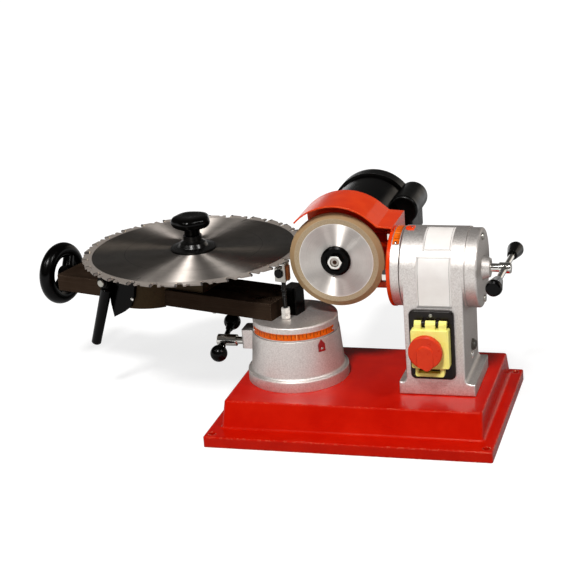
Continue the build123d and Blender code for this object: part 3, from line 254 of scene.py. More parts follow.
swivel_x = -93.5
axis_y = 8.0
pointer_turn = radians(-41)
pointer_face = 59.7
pointer_height = 100.2
chrome = finish("chrome", tone(214, 211, 205), tone(232, 229, 223), patch=0.012, rough=(0.07, 0.16),
                grain=0.0007, depth=0.000004, edge=0.0004, sockets={"Metallic": 1.0})[0]
pointer_lacquer = finish("pointer_lacquer", tone(128, 8, 10), tone(150, 14, 14), patch=0.004,
                         rough=(0.3, 0.42), grain=0.0012, depth=0.00003, edge=0.0003,
                         sockets={"Coat Weight": 0.2})[0]
dress(pointer_lacquer, "swivel_pointer")
pointer_out = np.array([np.cos(pointer_turn), np.sin(pointer_turn), 0])
pointer_seat = pointer_out * pointer_face + (swivel_x, axis_y, pointer_height)
small_screw("pointer_screw", radius=1.9, height=1.1, seat=pointer_seat, axis=pointer_out, body="frame")


# Swivel lock: a chromed clamp screw in the lug, with a cross bar of black rod and two turned plastic
# balls. A quarter turn of the bar presses the screw on the spigot of the disc.

black_rod = finish("black_rod", tone(14, 12, 10), tone(24, 21, 18), patch=0.008, rough=(0.25, 0.4),
                   grain=0.001, depth=0.00002, edge=0.0004, sockets={"Metallic": 0.3})[0]
black_plastic = finish("black_plastic", tone(7, 6, 6), tone(12, 11, 10), patch=0.015, rough=(0.16, 0.26),
                       grain=0.0016, depth=0.00002, edge=0.0008, sockets={"Specular IOR Level": 0.12})[0]
dress(chrome, "swivel_lock_screw")
dress(black_rod, "swivel_lock_bar")
dress(black_plastic, "swivel_lock_balls")


# Turning disc and swivel scale: the disc is a casting in the same silver paint. Round its front lies an
# orange scale band with black degree strokes, held by a small screw at each end.

def turn_about(tree, upward, sideways):
    """Turn about an axis in degrees: the arctangent of two parts of the place."""
    return maths(tree, "MULTIPLY", maths(tree, "ARCTAN2", upward, sideways), 180 / pi)


def stroke(tree, turn, step, half, height, start):
    """Share of 1 on strokes: a turn in degrees within half of a multiple of step, above a start height."""
    near = maths(tree, "LESS_THAN", maths(tree, "PINGPONG", turn, step / 2), half)
    return maths(tree, "MULTIPLY", near, maths(tree, "GREATER_THAN", height, start))


def scale_print(name, across, up, width, zero_across, zero_up, low, high, mark):
    """Orange band printed with strokes every degree, longer every 5 and 10, by the turn about an axis.
    Across and up number the place's parts that give the turn, from the zeros in metres; width is the
    part that runs across the band, from low to high. One pale line stands at the turn mark."""
    mark_half = 0.55
    material, tree, shader, place, colour = finish(
        name, tone(218, 88, 14), tone(234, 106, 22), patch=0.006, rough=(0.28, 0.4), grain=0.0015,
        depth=0.00002, edge=0.0003, sockets={"Specular IOR Level": 0.15})
    parts = add(tree, "SeparateXYZ", place).outputs
    sideways = maths(tree, "ADD", parts[across], -zero_across)
    upward = maths(tree, "ADD", parts[up], -zero_up)
    turn = turn_about(tree, upward, sideways)
    height = ramp(tree, parts[width], low, high)
    strokes = stroke(tree, turn, step=1.0, half=0.12, height=height, start=0.72)
    for step, half, start in ((5.0, 0.3, 0.45), (10.0, 0.38, 0.2)):
        strokes = maths(tree, "MAXIMUM", strokes, stroke(tree, turn, step, half, height, start))
    inked = between(tree, strokes, colour, tone(52, 20, 8))
    offset = maths(tree, "ABSOLUTE", maths(tree, "ADD", turn, -mark))
    line = maths(tree, "LESS_THAN", offset, mark_half)
    feed(tree, shader.inputs["Base Color"], between(tree, line, inked, tone(240, 160, 92)))
    return material


scale_face = 56.7
scale_height = 119.8
scale_ends = (-146.5, -16.5)
dress(silver_paint, "turntable_disc")
swivel_scale = scale_print("swivel_scale_print", across=0, up=1, width=2, zero_across=swivel_x / 1000,
                           zero_up=axis_y / 1000, low=0.1156, high=0.124, mark=-73)
dress(swivel_scale, "swivel_scale")
for number, end in enumerate(scale_ends):
    outward = np.array([np.cos(radians(end)), np.sin(radians(end)), 0])
    end_seat = outward * scale_face + (swivel_x, axis_y, scale_height)
    small_screw(f"swivel_scale_screw_{number}", radius=2.1, height=1.3, seat=end_seat, axis=outward,
                body="turntable")


# Slide arm: a straight milled bar with a long slot, bolted flat on the disc. It is browned in a hot bath,
# so it is nearly black with a warm cast, and the mill's fine lines run along it.

arm_degrees = 15.3
arm_swing = radians(arm_degrees)


def on_arm(points):
    """Points given along, across and above the arm, in millimetres from the swivel axis, to metres."""
    along = np.array([np.cos(arm_swing), -np.sin(arm_swing), 0])
    across = np.array([np.sin(arm_swing), np.cos(arm_swing), 0])
    points = np.asarray(points, float)
    place = points[..., :1] * along + points[..., 1:2] * across + points[..., 2:] * np.array([0, 0, 1])
    return (place + (swivel_x, axis_y, 0)) / 1000


def milled(name, dark, light, bare, rough, sockets):
    """Thin dark coat on milled metal: streaks of noise along the arm lift its colour towards the bare
    tone, and it is rubbed through on the edges, most where a streak is strong."""
    streak_length, streak_width = 0.06, 0.0009
    lift_start, lift_full, lift_share = 0.4, 0.75, 0.3
    rub_start, rub_full, rub_least, rub_most = 0.45, 0.6, 0.1, 0.8
    edge_band_width = 0.0007
    material, tree, shader, place, colour = finish(
        name, dark, light, patch=0.03, rough=rough, grain=0.0009, depth=0.00002, edge=0.0006,
        sockets=sockets)
    lined = add(tree, "Mapping", place, Rotation=(0, 0, -arm_swing),
                Scale=(streak_length, streak_width, streak_width), vector_type="TEXTURE")
    streaks = add(tree, "TexNoise", lined, Scale=1.0, Detail=2.0, Roughness=0.6)
    lift = ramp(tree, streaks, lift_start, lift_full, 0.0, lift_share)
    streaked = between(tree, lift, colour, bare)
    rub = ramp(tree, streaks, rub_start, rub_full, rub_least, rub_most)
    worn = maths(tree, "MULTIPLY", edge_share(tree, edge_band_width), rub)
    feed(tree, shader.inputs["Base Color"], between(tree, worn, streaked, tone(150, 132, 116)))
    return material


browned_steel = milled("browned_steel", tone(48, 38, 31), tone(58, 47, 39), bare=tone(78, 66, 57),
                       rough=(0.4, 0.52), sockets={"Metallic": 0.4, "Specular IOR Level": 0.0,
                                                   "Specular Tint": (0.1, 0.1, 0.1, 1.0)})
dress(browned_steel, "slide_arm", "arm_bolts")
gib_seat = (-107, -29, 132)
gib_screw = slotted_head(radius=4.2, height=3.4) * (1, 1, -1)
shell("arm_gib_screw", on_arm(gib_screw + gib_seat), "turntable", chrome)


# Lead screw and handwheel: a steel screw with a 4 mm trapezoid thread lies in the slot, and a moulded
# black handwheel with a thick rim is pinned on its outer end.

def thread(start, end, radius, cut, depth, pitch, around=36, per_turn=8):
    """Threaded rod along Z: the radius at turn t and height z falls by depth in a flat-topped saw of
    z / pitch - t / full turn; outside the cut's limits the rod is smooth. Both ends close on the axis."""
    flank, crest = 3.2, 0.5
    height = np.linspace(start, end, int((end - start) / pitch * per_turn) + 1)[:, None]
    turn = np.linspace(0, 2 * pi, around, endpoint=False)[None, :]
    phase = np.mod(height / pitch - turn / (2 * pi), 1)
    groove = np.clip(flank * np.abs(phase - 0.5) - crest, 0, 1)
    r = radius - np.where((height > cut[0]) & (height < cut[1]), depth * groove, 0)
    body = np.stack([r * np.cos(turn), r * np.sin(turn), height + 0 * turn], -1)
    ends = body[[0, -1]] * (0, 0, 1)
    return np.concatenate([ends[:1], body, ends[1:]])


turned_steel = finish("turned_steel", tone(150, 146, 140), tone(184, 180, 173), patch=0.005,
                      rough=(0.24, 0.4), grain=0.0006, depth=0.00001, edge=0.0003,
                      sockets={"Metallic": 1.0})[0]
screw_radius = 6
screw_height = 143.5
journal_radius = 4
journal_start = -77
screw_line = thread(start=-385.5, end=-60, radius=screw_radius, cut=(-300, -79), depth=1.1, pitch=4.0)
journal = np.where(screw_line[..., 2:] > journal_start, journal_radius / screw_radius, 1)
screw_line = screw_line * np.concatenate([journal, journal, np.ones_like(journal)], -1)
lead_screw = shell("lead_screw_thread", on_arm(screw_line[..., [2, 0, 1]] + (0, 0, screw_height)), "feed",
                   turned_steel, ring=True)
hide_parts("lead_screw")
dress(turned_steel, "lead_screw")
dress(black_plastic, "handwheel")


# Carriage: a round saddle that straddles the arm, a casting in thin olive-brown paint, with a turned post
# for the blade. A black bracket at its nose carries the clamp lever with its long plastic grip.

olive_paint = milled("olive_paint", tone(52, 40, 26), tone(70, 56, 38), bare=tone(92, 76, 54),
                     rough=(0.36, 0.5), sockets={"Metallic": 0.3, "Specular IOR Level": 0.1})
black_paint = enamel("black_paint", tone(6, 5, 5), tone(10, 9, 8), chip_and_glint=tone(54, 48, 42), edge=0.0012,
                     gloss={"Specular IOR Level": 0.07})
dress(olive_paint, "blade_carriage")
dress(turned_steel, "blade_post")
dress(black_paint, "clamp_bracket", "clamp_lever")
dress(zinc, "clamp_lever_screw")
dress(black_plastic, "lever_grip")
bracket_seat = (-217, -62, 146.5)
bracket_screw = slotted_head(radius=2.6, height=1.6)[..., [0, 2, 1]] * (1, -1, 1)
shell("bracket_screw", on_arm(bracket_screw + bracket_seat), "carriage", chrome)


# Saw blade: a 300 mm tipped circular saw blade. Its middle is ground in fine rings, which stretch lights
# into rays; the toothed border is left dull. Four slits run in from gullets, and each tip is brazed in.

def spoke_from(tree, place, centre, axis):
    """The spoke from an axis through a centre, in millimetres, straight out to the place, and its length
    in metres."""
    middle = tuple(-part / 1000 for part in centre)
    flat = tuple(1.0 - abs(part) for part in axis)
    spoke = add(tree, "VectorMath", add(tree, "VectorMath", place, middle, operation="ADD"), flat,
                operation="MULTIPLY")
    return spoke, add(tree, "VectorMath", spoke, operation="LENGTH").outputs["Value"]


def ringed(name, dark, light, centre, axis, rough, sockets):
    """Metal ground or faced about an axis: rings of noise over the distance from it vary colour and
    roughness, and the grain spreads light along the spoke. Gives the material, its tree, the shader, the
    spoke, the distance and the colour."""
    ring_low, ring_high = 0.3, 0.7
    material, tree, shader, place, colour = finish(
        name, dark, light, patch=0.02, rough=rough, grain=0.0005, depth=0.000003, edge=0.0003,
        sockets=sockets)
    spoke, distance = spoke_from(tree, place, centre, axis)
    rings = add(tree, "TexNoise", W=distance, Scale=1400.0, Detail=3.0, noise_dimensions="1D")
    tinted = between(tree, ramp(tree, rings, ring_low, ring_high), colour, light)
    feed(tree, shader.inputs["Base Color"], tinted)
    feed(tree, shader.inputs["Roughness"], ramp(tree, rings, ring_low, ring_high, *rough))
    feed(tree, shader.inputs["Tangent"], spoke)
    return material, tree, shader, spoke, distance, tinted


blade_axis = (0, 0, 1)
blade_along = -152.8
blade_height = 205.6
blade_middle = on_arm((blade_along, 0, blade_height)) * 1000
tooth_pitch = 360 / 28
dull_start, dull_full, dull_metal = 0.1362, 0.1368, 0.25
scribe_radius, scribe_half, scribe_share = 0.0925, 0.0003, 0.5
slit_first, slit_pitch, slit_half, slit_inner = 75.96, 90.0, 0.16, 0.124
tip_degrees, tip_inner = 0.9, 0.1428
braze_radius, braze_half = 0.1422, 0.0007

blade_steel, tree, shader, spoke, distance, colour = ringed(
    "ground_blade_steel", tone(146, 140, 134), tone(174, 167, 161), blade_middle, blade_axis,
    rough=(0.54, 0.64), sockets={"Metallic": 1.0, "Anisotropic": 1.0})
dull = ramp(tree, distance, dull_start, dull_full)
feed(tree, shader.inputs["Metallic"], ramp(tree, dull, 0.0, 1.0, 1.0, dull_metal))
colour = between(tree, dull, colour, tone(150, 142, 135))
scribed = maths(tree, "COMPARE", distance, scribe_radius, scribe_half)
colour = between(tree, maths(tree, "MULTIPLY", scribed, scribe_share), colour, tone(52, 49, 46))
parts = add(tree, "SeparateXYZ", spoke).outputs
turn = turn_about(tree, parts[1], parts[0])
from_slit = maths(tree, "PINGPONG", maths(tree, "ADD", turn, -slit_first), slit_pitch / 2)
slit = maths(tree, "MULTIPLY", maths(tree, "LESS_THAN", from_slit, slit_half),
             maths(tree, "GREATER_THAN", distance, slit_inner))
colour = between(tree, slit, colour, tone(20, 18, 17))
from_tip = maths(tree, "FLOORED_MODULO", maths(tree, "ADD", turn, arm_degrees), tooth_pitch)
behind = maths(tree, "GREATER_THAN", from_tip, tooth_pitch - tip_degrees)
tip = maths(tree, "MULTIPLY", behind, maths(tree, "GREATER_THAN", distance, tip_inner))
colour = between(tree, tip, colour, tone(78, 74, 72))
braze = maths(tree, "MULTIPLY", behind, maths(tree, "COMPARE", distance, braze_radius, braze_half))
colour = between(tree, braze, colour, tone(238, 222, 196))
feed(tree, shader.inputs["Base Color"], colour)
dress(blade_steel, "saw_blade")


# Blade clamp: a turned black flange with a conical back sits on the blade, and a moulded knob with five
# shallow lobes screws down on it by the post's stud.

def lobed_knob(bottom, neck, head, top, radius, lobe):
    """Knob about Z: a profile of (share of the rim, height) is swept over the turn t with the rim radius
    + lobe * share^2 * cos(lobes * t); below the head a round neck goes down to the bottom. In mm."""
    lobes = 5
    rise = top - head
    profile = np.array([(0, top - 0.6), (0.2, top - 0.5), (0.42, top - 0.1), (0.6, top), (0.76, top - 0.5),
                        (0.89, top - 0.11 * rise), (0.97, top - 0.27 * rise), (1, top - 0.46 * rise),
                        (0.985, top - 0.66 * rise), (0.93, top - 0.83 * rise), (0.84, top - 0.95 * rise),
                        (0.74, head), (0.62, head + 0.8), (0.5, head + 1.2)])
    stem = np.array([(neck + 0.5, head), (neck, head - 1.5), (neck, bottom + 1), (neck - 1, bottom),
                     (0, bottom)])
    share = profile[:, :1]
    turn = np.linspace(0, 2 * pi, 120, endpoint=False)[None, :]
    r = share * (radius + lobe * share ** 2 * np.cos(lobes * turn))
    r = np.concatenate([r, stem[:, :1] + 0 * turn])
    z = np.concatenate([profile[:, 1:], stem[:, 1:]]) + 0 * turn
    return np.stack([r * np.cos(turn), r * np.sin(turn), z], -1)


flange_black = ringed("turned_black", tone(9, 8, 8), tone(16, 15, 14), blade_middle, blade_axis,
                      rough=(0.2, 0.34), sockets={"Metallic": 0.2, "Anisotropic": 0.4})[0]
dress(flange_black, "clamp_flange")
knob_grid = lobed_knob(bottom=225, neck=10.5, head=236, top=252, radius=26.2, lobe=1.3)
knob = shell("clamp_knob_lobed", on_arm(knob_grid + (blade_along, 0, 0)), "clamp_knob", black_plastic,
             ring=True)
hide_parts("clamp_knob")
dress(black_plastic, "clamp_knob")


# Tooth stop: a threaded rod stands on the disc with two plated lock nuts and carries a bright block with
# a thumb screw and a brown finger, which a tooth rests on. A black bracket stands behind it.

finger_brass = finish("aged_brass", tone(92, 48, 20), tone(128, 72, 34), patch=0.004, rough=(0.3, 0.45),
                      grain=0.0008, depth=0.00002, edge=0.0003, sockets={"Metallic": 0.8})[0]
bright_zinc = finish("bright_zinc", tone(222, 219, 213), tone(240, 238, 233), patch=0.006,
                     rough=(0.25, 0.36), grain=0.001, depth=0.00002, edge=0.0006,
                     sockets={"Metallic": 0.5})[0]
rod_foot = (-1.8, -19, 0)
rod_grid = thread(start=123, end=188.5, radius=3, cut=(124, 187.5), depth=0.5, pitch=1.0, around=28,
                  per_turn=6)
rod = shell("stop_rod_thread", on_arm(rod_grid + rod_foot), "turntable", black_rod,
            ring=True)
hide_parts("stop_rod")
dress(black_rod, "stop_rod")
dress(black_paint, "stop_post")
dress(bright_zinc, "stop_nuts")
dress(turned_steel, "stop_block")
dress(finger_brass, "stop_finger")
dress(black_plastic, "stop_thumb_screw")


# Head column: a hollow casting in silver paint, with a foot, a square shaft and a barrel across its top,
# closed by a turned cover. Two thin enamelled plates are stuck on it, one up its front and one over the
# barrel.

def plate_finish(name, width, height):
    """White enamelled plate with a fine grey line inside its border, by the plate's own UV in millimetres:
    the line lies where the nearest border is line_inset away."""
    line_inset, line_half = 2.2, 0.3
    material, tree, shader, _, colour = finish(
        name, tone(236, 231, 227), tone(242, 238, 234), patch=0.02, rough=(0.3, 0.42), grain=0.002,
        depth=0.00001, edge=0.0003)
    parts = add(tree, "SeparateXYZ", add(tree, "TexCoord").outputs["UV"]).outputs
    inset = [maths(tree, "PINGPONG", part, size / 2) for part, size in zip(parts, (width, height))]
    nearest = maths(tree, "MINIMUM", *inset)
    line = maths(tree, "COMPARE", nearest, line_inset, line_half)
    feed(tree, shader.inputs["Base Color"], between(tree, line, colour, tone(150, 146, 142)))
    return material


def stuck_plate(name, left, right, path):
    """Thin plate between two x values, carried along a path of (y, z) points in millimetres, with its UV
    in millimetres along both. The sheet's thickness goes outwards."""
    sheet = 0.0004
    rows, columns = len(path), 12
    across = np.linspace(left, right, columns)
    points = np.concatenate([np.broadcast_to(across[None, :, None], (rows, columns, 1)),
                             np.broadcast_to(path[:, None, :], (rows, columns, 2))], -1) / 1000
    length = np.concatenate([[0], np.cumsum(np.linalg.norm(np.diff(path, axis=0), axis=1))])
    faces = grid_faces(rows, columns)
    mesh = bpy.data.meshes.new(name)
    mesh.from_pydata(points.reshape(-1, 3).tolist(), [], faces.tolist())
    chart = np.stack(np.meshgrid(across - left, length), -1).reshape(-1, 2)
    mesh.uv_layers.new(name="plate").data.foreach_set("uv", chart[faces.ravel()].ravel())
    mesh.shade_smooth()
    mesh.materials.append(plate_finish(name + "_enamel", right - left, length[-1]))
    plate = bpy.data.objects.new(name, mesh)
    bpy.context.scene.collection.objects.link(plate)
    wall = plate.modifiers.new("sheet", "SOLIDIFY")
    wall.thickness = sheet
    wall.offset = 1
    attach(plate, "frame")


def on_barrel(turn, radius):
    """Points (y, z) in millimetres on a circle about the tilt axis, at turns in radians from the back."""
    return np.stack([axis_y + radius * np.cos(turn), tilt_z + radius * np.sin(turn)], -1)


tilt_z = 202.0
barrel = 52.05
plate_foot, plate_bend = 165.5, 201
climb = np.radians(np.linspace(180, 147.5, 14))
over = np.radians(np.linspace(140, 90, 24))
flat_path = np.stack([np.full(12, axis_y - barrel), np.linspace(plate_foot, plate_bend, 12)], -1)
stuck_plate("front_plate", left=81, right=125, path=np.concatenate([flat_path, on_barrel(climb, barrel)]))
stuck_plate("top_plate", left=88, right=124.6, path=on_barrel(over, barrel))
gland_black = finish("gland_plastic", tone(58, 55, 50), tone(72, 68, 62), patch=0.006, rough=(0.42, 0.55),
                     grain=0.0008, depth=0.00003, edge=0.0005)[0]
dress(silver_paint, "motor_column", "barrel_cover")
dress(zinc, "panel_screws")
dress(gland_black, "cable_gland")
earth_seat = (138.5, 3, 86)
small_screw("earth_screw", radius=5.0, height=3.4, seat=earth_seat, axis=(1, 0, 0), body="frame")


# Tilt lock: a chromed draw rod comes out of the cover's boss, with a cross bar through its eye and two
# tapered plastic knobs. It pulls the quill of the head tight into the barrel.

dress(chrome, "tilt_lock_screw", "tilt_lock_bar")
dress(black_plastic, "tilt_lock_knobs")


# Tilt ring, scale and pointer: the ring turns against the barrel and is silver like it, with an orange
# scale band over its top. The pointer, a small enamelled plate with a screw, sits on the barrel.

dress(silver_paint, "tilt_ring")
tilt_scale = scale_print("tilt_scale_print", across=1, up=2, width=0, zero_across=axis_y / 1000,
                         zero_up=tilt_z / 1000, low=0.049, high=0.0575, mark=108)
dress(tilt_scale, "tilt_scale")
guard_gloss = {"Specular IOR Level": 0.45, "Specular Tint": (1.0, 0.6, 0.4, 1.0)}
guard_enamel = enamel("guard_enamel", tone(224, 56, 12), tone(234, 66, 18), chip_and_glint=tone(240, 120, 70),
                      edge=0.0012, gloss=guard_gloss)
band_middle, band_face = 53.2, 51.1
band_end = radians(127.5)
band_out = np.array([0, np.cos(band_end), np.sin(band_end)])
band_seat = band_out * band_face + (band_middle, axis_y, tilt_z)
small_screw("tilt_scale_screw", radius=2.0, height=1.2, seat=band_seat, axis=band_out, body="head")

# The tilt pointer is a grid along and across the barrel: its tip is narrow, and its border lies on the
# barrel while the rest stands up by its thickness.
index_turn, index_half = radians(95), radians(7.5)
index_start, index_length, index_thick = 61, 12, 1.3
along = np.array([0, 0.06, 0.3, 0.7, 0.94, 1])[:, None]
widths = np.array([0.35, 0.5, 1, 1, 1, 1])[:, None]
raised = np.array([0, 1, 1, 1, 1, 0])[:, None] * np.array([0, 1, 1, 1, 1, 1, 1, 1, 0])[None, :]
lean = index_turn + index_half * np.linspace(-1, 1, 9)[None, :] * widths
index_x = index_start + index_length * along + 0 * lean
index_grid = np.concatenate([index_x[..., None], on_barrel(lean, barrel + index_thick * raised)], -1) / 1000
shell("tilt_pointer", index_grid, "frame", guard_enamel)
index_out = np.array([0, np.cos(index_turn), np.sin(index_turn)])
index_screw_x, index_face = 69.5, 53.3
index_seat = index_out * index_face + (index_screw_x, axis_y, tilt_z)
small_screw("tilt_pointer_screw", radius=1.8, height=1.0, seat=index_seat, axis=index_out, body="frame")


# Head bracket and wheel guard: a welded plate and a bent sheet hood in orange-red enamel, carried by a
# round flange that four plated hex bolts hold to the tilt ring.

dress(guard_enamel, "motor_bracket", "wheel_guard")
dress(chrome, "flange_bolts")


# Motor: a closed round motor in black enamel, with a moulded fan cover and a capacitor box. Inside are
# the laminated stator with copper windings, bearings, shaft, rotor and fan.

motor_plastic = finish("motor_plastic", tone(8, 8, 7), tone(12, 11, 10), patch=0.02, rough=(0.3, 0.42),
                       grain=0.0012, depth=0.00004, edge=0.0012, sockets={"Specular IOR Level": 0.16})[0]
windings = finish("copper_windings", tone(120, 56, 24), tone(176, 92, 44), patch=0.003, rough=(0.25, 0.4),
                  grain=0.0009, depth=0.0002, edge=0.0004, sockets={"Metallic": 0.9})[0]
dress(black_paint, "motor_end_cover", "motor_housing")
dress(motor_plastic, "fan_cover", "capacitor_cover", "cooling_fan")
dress(windings, "stator")
dress(turned_steel, "ball_bearings", "rotor")


# Grinding wheel: an aluminium disc faced in rings, with a painted highlight round its outer edge and a
# bonded grey-tan abrasive rim, clamped between a flange and a black washer by a plated hex nut. The
# motor's shaft shows in the nut, its centre hole painted on as a dark disc of shade.

wheel_middle = (-31.5, 0, 209.0)
wheel_axis = (0, 1, 0)
core_metal, highlight_ring_metal, highlight_ring_start = 0.85, 0.3, 0.0481
faced, tree, shader, _, distance, colour = ringed(
    "faced_aluminium", tone(214, 207, 200), tone(236, 230, 224), wheel_middle, wheel_axis,
    rough=(0.47, 0.55), sockets={"Metallic": core_metal, "Anisotropic": 1.0})
# Painted highlight: a thin near-white, less metallic ring round the outer edge of the core.
border = maths(tree, "GREATER_THAN", distance, highlight_ring_start)
feed(tree, shader.inputs["Metallic"], ramp(tree, border, 0.0, 1.0, core_metal, highlight_ring_metal))
feed(tree, shader.inputs["Base Color"], between(tree, border, colour, tone(250, 247, 242)))
dress(faced, "wheel_core")

bevel_start, bevel_full, bevel_share = 0.0552, 0.056, 0.85
corner_radius, corner_half, corner_share = 0.0555, 0.0004, 0.3
grit_core, grit_rim, grit_share = 0.1, 0.25, 0.5
abrasive, tree, shader, place, colour = finish(
    "bonded_abrasive", tone(164, 144, 114), tone(184, 166, 137), patch=0.0016, rough=(0.75, 0.95),
    grain=0.0005, depth=0.00025, edge=0.0004)
_, distance = spoke_from(tree, place, wheel_middle, wheel_axis)
bevel = ramp(tree, distance, bevel_start, bevel_full, 0.0, bevel_share)
colour = between(tree, bevel, colour, tone(164, 132, 92))
corner = maths(tree, "COMPARE", distance, corner_radius, corner_half)
colour = between(tree, maths(tree, "MULTIPLY", corner, corner_share), colour, tone(196, 178, 148))
grit = add(tree, "TexVoronoi", place, Scale=1600.0)
sparkle = ramp(tree, grit, grit_core, grit_rim, grit_share, 0.0)
feed(tree, shader.inputs["Base Color"], between(tree, sparkle, colour, tone(190, 172, 142)))
dress(abrasive, "abrasive_rim")
dress(turned_steel, "wheel_inner_flange")
dress(black_paint, "wheel_washer")
dress(chrome, "wheel_nut")

hole_radius, hole_rim = 0.0026, 0.0032
shaft_steel, tree, shader, _, distance, colour = ringed(
    "shaft_steel", tone(150, 142, 134), tone(186, 179, 171), wheel_middle, wheel_axis,
    rough=(0.25, 0.36), sockets={"Metallic": 1.0, "Anisotropic": 0.5})
# Painted shade: the centre hole is not cut, a dark disc at the shaft's end stands for its shadowed recess.
painted_hole_shade = ramp(tree, distance, hole_radius, hole_rim, 1.0, 0.0)
feed(tree, shader.inputs["Base Color"], between(tree, painted_hole_shade, colour, tone(58, 40, 32)))
dress(shaft_steel, "motor_shaft")


# Switch: a black moulded housing in the front of the column with a green start and a red stop button.
# Over them hangs a yellow cover on a hinge pin, with a round red stop paddle.

def moulded(name, dark, light):
    """Gloss moulding with a fine eroded grain."""
    return finish(name, dark, light, patch=0.01, rough=(0.26, 0.38), grain=0.0008, depth=0.00003,
                  edge=0.0007, sockets={"Specular IOR Level": 0.3})[0]


def paddle_face(radius, tail, back, front, raised):
    """Stop paddle, looking along -Y, in millimetres about its middle. The outline at turn t is the radius
    + tail * exp(-((t - tail_turn) / tail_spread)^2); a profile of (share of the outline, depth) rounds its
    border. Inside a thumb shape, round above and open below, the face stands higher by raised."""
    tail_turn, tail_spread = radians(274.8), radians(13)
    thumb_half, thumb_drop, thumb_slope = 10.4, 1.5, 1.1
    border = 0.06
    stem_radius, stem_length = 5, 13.1
    face = np.stack([np.linspace(0, 0.93, 32), np.zeros(32)], -1)
    rim = [(0.965, 0.3), (0.99, 1.0), (1, 2.0), (1, front - back), (0.97, front - back)]
    profile = np.concatenate([face, rim])
    turn = np.linspace(0, 2 * pi, 144, endpoint=False)[None, :]
    swing = np.mod(turn - tail_turn + pi, 2 * pi) - pi
    outline = radius + tail * np.exp(-(swing / tail_spread) ** 2)
    x = profile[:, :1] * outline * np.cos(turn)
    z = profile[:, :1] * outline * np.sin(turn)
    inside = thumb_half - np.where(z > -thumb_drop, np.hypot(x, z + thumb_drop), np.abs(x))
    step = np.clip(inside / thumb_slope + 0.5, 0, 1)
    fade = np.clip((1 - profile[:, :1]) / border, 0, 1)
    y = -front + profile[:, 1:] - raised * step * step * (3 - 2 * step) * fade
    stem = np.array([(stem_radius, back), (stem_radius, back - stem_length), (0, back - stem_length)])
    x = np.concatenate([x, stem[:, :1] * np.cos(turn)])
    z = np.concatenate([z, stem[:, :1] * np.sin(turn)])
    y = np.concatenate([y, -stem[:, 1:] + 0 * turn])
    return np.stack([x, y, z], -1)


switch_black = moulded("switch_black", tone(20, 15, 13), tone(30, 23, 20))
switch_yellow = moulded("switch_yellow", tone(252, 244, 128), tone(255, 248, 144))
switch_red = moulded("switch_red", tone(208, 52, 22), tone(216, 60, 28))
switch_green = moulded("switch_green", tone(28, 112, 48), tone(40, 134, 62))
paddle_middle = (94.5, 0, 116)
paddle_grid = paddle_face(radius=21.5, tail=3.2, back=66.4, front=73.4, raised=1.8) + paddle_middle
paddle = shell("stop_paddle_face", paddle_grid / 1000, "stop_paddle", switch_red, ring=True)
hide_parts("stop_paddle")
dress(switch_black, "switch_box")
dress(switch_yellow, "switch_cover")
dress(switch_red, "stop_paddle", "stop_button")
dress(switch_green, "start_button")
dress(black_rod, "hinge_pin")


# Studio: a white floor that runs to the horizon, and a dark room with a white band low round it. For
# reflections alone the floor carries a painted shadow, dark behind on the right, and a warm card stands
# there. A strong lamp lights from the front above and two weaker ones from the sides.

white = (1, 1, 1, 1)
reach = 60.0
floor_grey = (0.3, 0.3, 0.3, 1)
floor_glow = 0.79
shade_middle = (0.15, 0.3, 0.0)
shade_inner, shade_outer, shade_least = 0.45, 0.9, 0.02
corners = [(-reach, -reach, 0), (reach, -reach, 0), (reach, reach, 0), (-reach, reach, 0)]
floor_mesh = bpy.data.meshes.new("studio_floor")
floor_mesh.from_pydata(corners, [], [(0, 1, 2, 3)])
floor = bpy.data.objects.new("studio_floor", floor_mesh)
bpy.context.scene.collection.objects.link(floor)
floor_paint = bpy.data.materials.new("studio_floor_paint")
floor_paint.use_nodes = True
tree = floor_paint.node_tree
tree.nodes.remove(tree.nodes["Principled BSDF"])
ray = add(tree, "LightPath").outputs
spot = add(tree, "TexCoord").outputs["Object"]
# Painted shadow: in reflections the floor's glow fades near the machine, most behind on the right.
away = add(tree, "VectorMath", spot, shade_middle, operation="DISTANCE").outputs["Value"]
shaded = ramp(tree, away, shade_inner, shade_outer, shade_least, 1.0)
seen = maths(tree, "MULTIPLY", ray["Is Glossy Ray"], shaded)
seen = maths(tree, "MAXIMUM", ray["Is Camera Ray"], seen)
seen = maths(tree, "MAXIMUM", seen, ray["Is Transmission Ray"])
glow = add(tree, "Emission", white, maths(tree, "MULTIPLY", seen, floor_glow))
matt = add(tree, "BsdfDiffuse", floor_grey)
feed(tree, tree.nodes["Material Output"].inputs["Surface"], add(tree, "AddShader", matt, glow))
floor_mesh.materials.append(floor_paint)

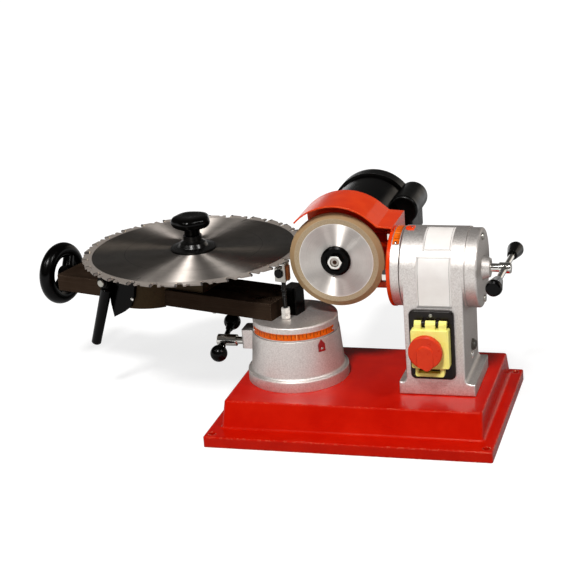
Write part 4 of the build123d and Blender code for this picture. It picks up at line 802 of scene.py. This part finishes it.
room_grey = (0.09, 0.088, 0.085, 1)
card_tone = (1.0, 0.9, 0.78, 1)
band_low, band_high = 0.02, 0.08
card_low, card_high = 0.318, 0.332
card_sides = ((0, 0.228, 0.25), (0, 0.7, 0.66), (1, 0.5, 0.55))
world = bpy.data.worlds.new("studio_room")
bpy.context.scene.world = world
world.use_nodes = True
tree = world.node_tree
direction = add(tree, "SeparateXYZ", add(tree, "TexCoord").outputs["Generated"]).outputs
room = between(tree, ramp(tree, direction[2], band_low, band_high, 1.0, 0.0), room_grey, white)
card = ramp(tree, direction[2], card_low, card_high, 1.0, 0.0)
for part, start, end in card_sides:
    card = maths(tree, "MULTIPLY", card, ramp(tree, direction[part], start, end))
card = maths(tree, "MULTIPLY", card, add(tree, "LightPath").outputs["Is Glossy Ray"])
feed(tree, tree.nodes["Background"].inputs["Color"], between(tree, card, room, card_tone))

lamp_tone = (1.0, 0.985, 0.97)
lamps = (("key", -92, 52, 2.8, 10), ("left", -140, 45, 0.3, 12), ("right", -20, 40, 0.8, 12))
for name, azimuth, elevation, strength, softness in lamps:
    light = bpy.data.lights.new(name, "SUN")
    light.energy = strength
    light.angle = radians(softness)
    light.color = lamp_tone
    lamp = bpy.data.objects.new(name, light)
    turn, rise = radians(azimuth), radians(elevation)
    towards = Vector((np.cos(turn) * np.cos(rise), np.sin(turn) * np.cos(rise), np.sin(rise)))
    lamp.rotation_euler = towards.to_track_quat("Z", "Y").to_euler()
    bpy.context.scene.collection.objects.link(lamp)


# Camera: a long lens two metres away, a little right of the front and above the machine, and rolled a few
# degrees. Its focal length is given in picture points and turned into millimetres on the sensor.

azimuth, elevation, roll = radians(17.1265), radians(19.4694), radians(4.2545)
target = Vector((-0.09295, 0.00001, 0.16498))
stand = 2.106085
focal_points, picture_points = 1624.914, 584
sensor = 36
turn = (Matrix.Rotation(azimuth, 3, "Z") @ Matrix.Rotation(pi / 2 - elevation, 3, "X")
        @ Matrix.Rotation(-roll, 3, "Z"))
lens = bpy.data.cameras.new("camera")
lens.lens = sensor * focal_points / picture_points
lens.sensor_width = sensor
lens.clip_end = 100
camera = bpy.data.objects.new("camera", lens)
camera.matrix_world = Matrix.Translation(target + turn @ Vector((0, 0, stand))) @ turn.to_4x4()
bpy.context.scene.collection.objects.link(camera)
bpy.context.scene.camera = camera
bpy.context.scene.view_settings.view_transform = "Standard"
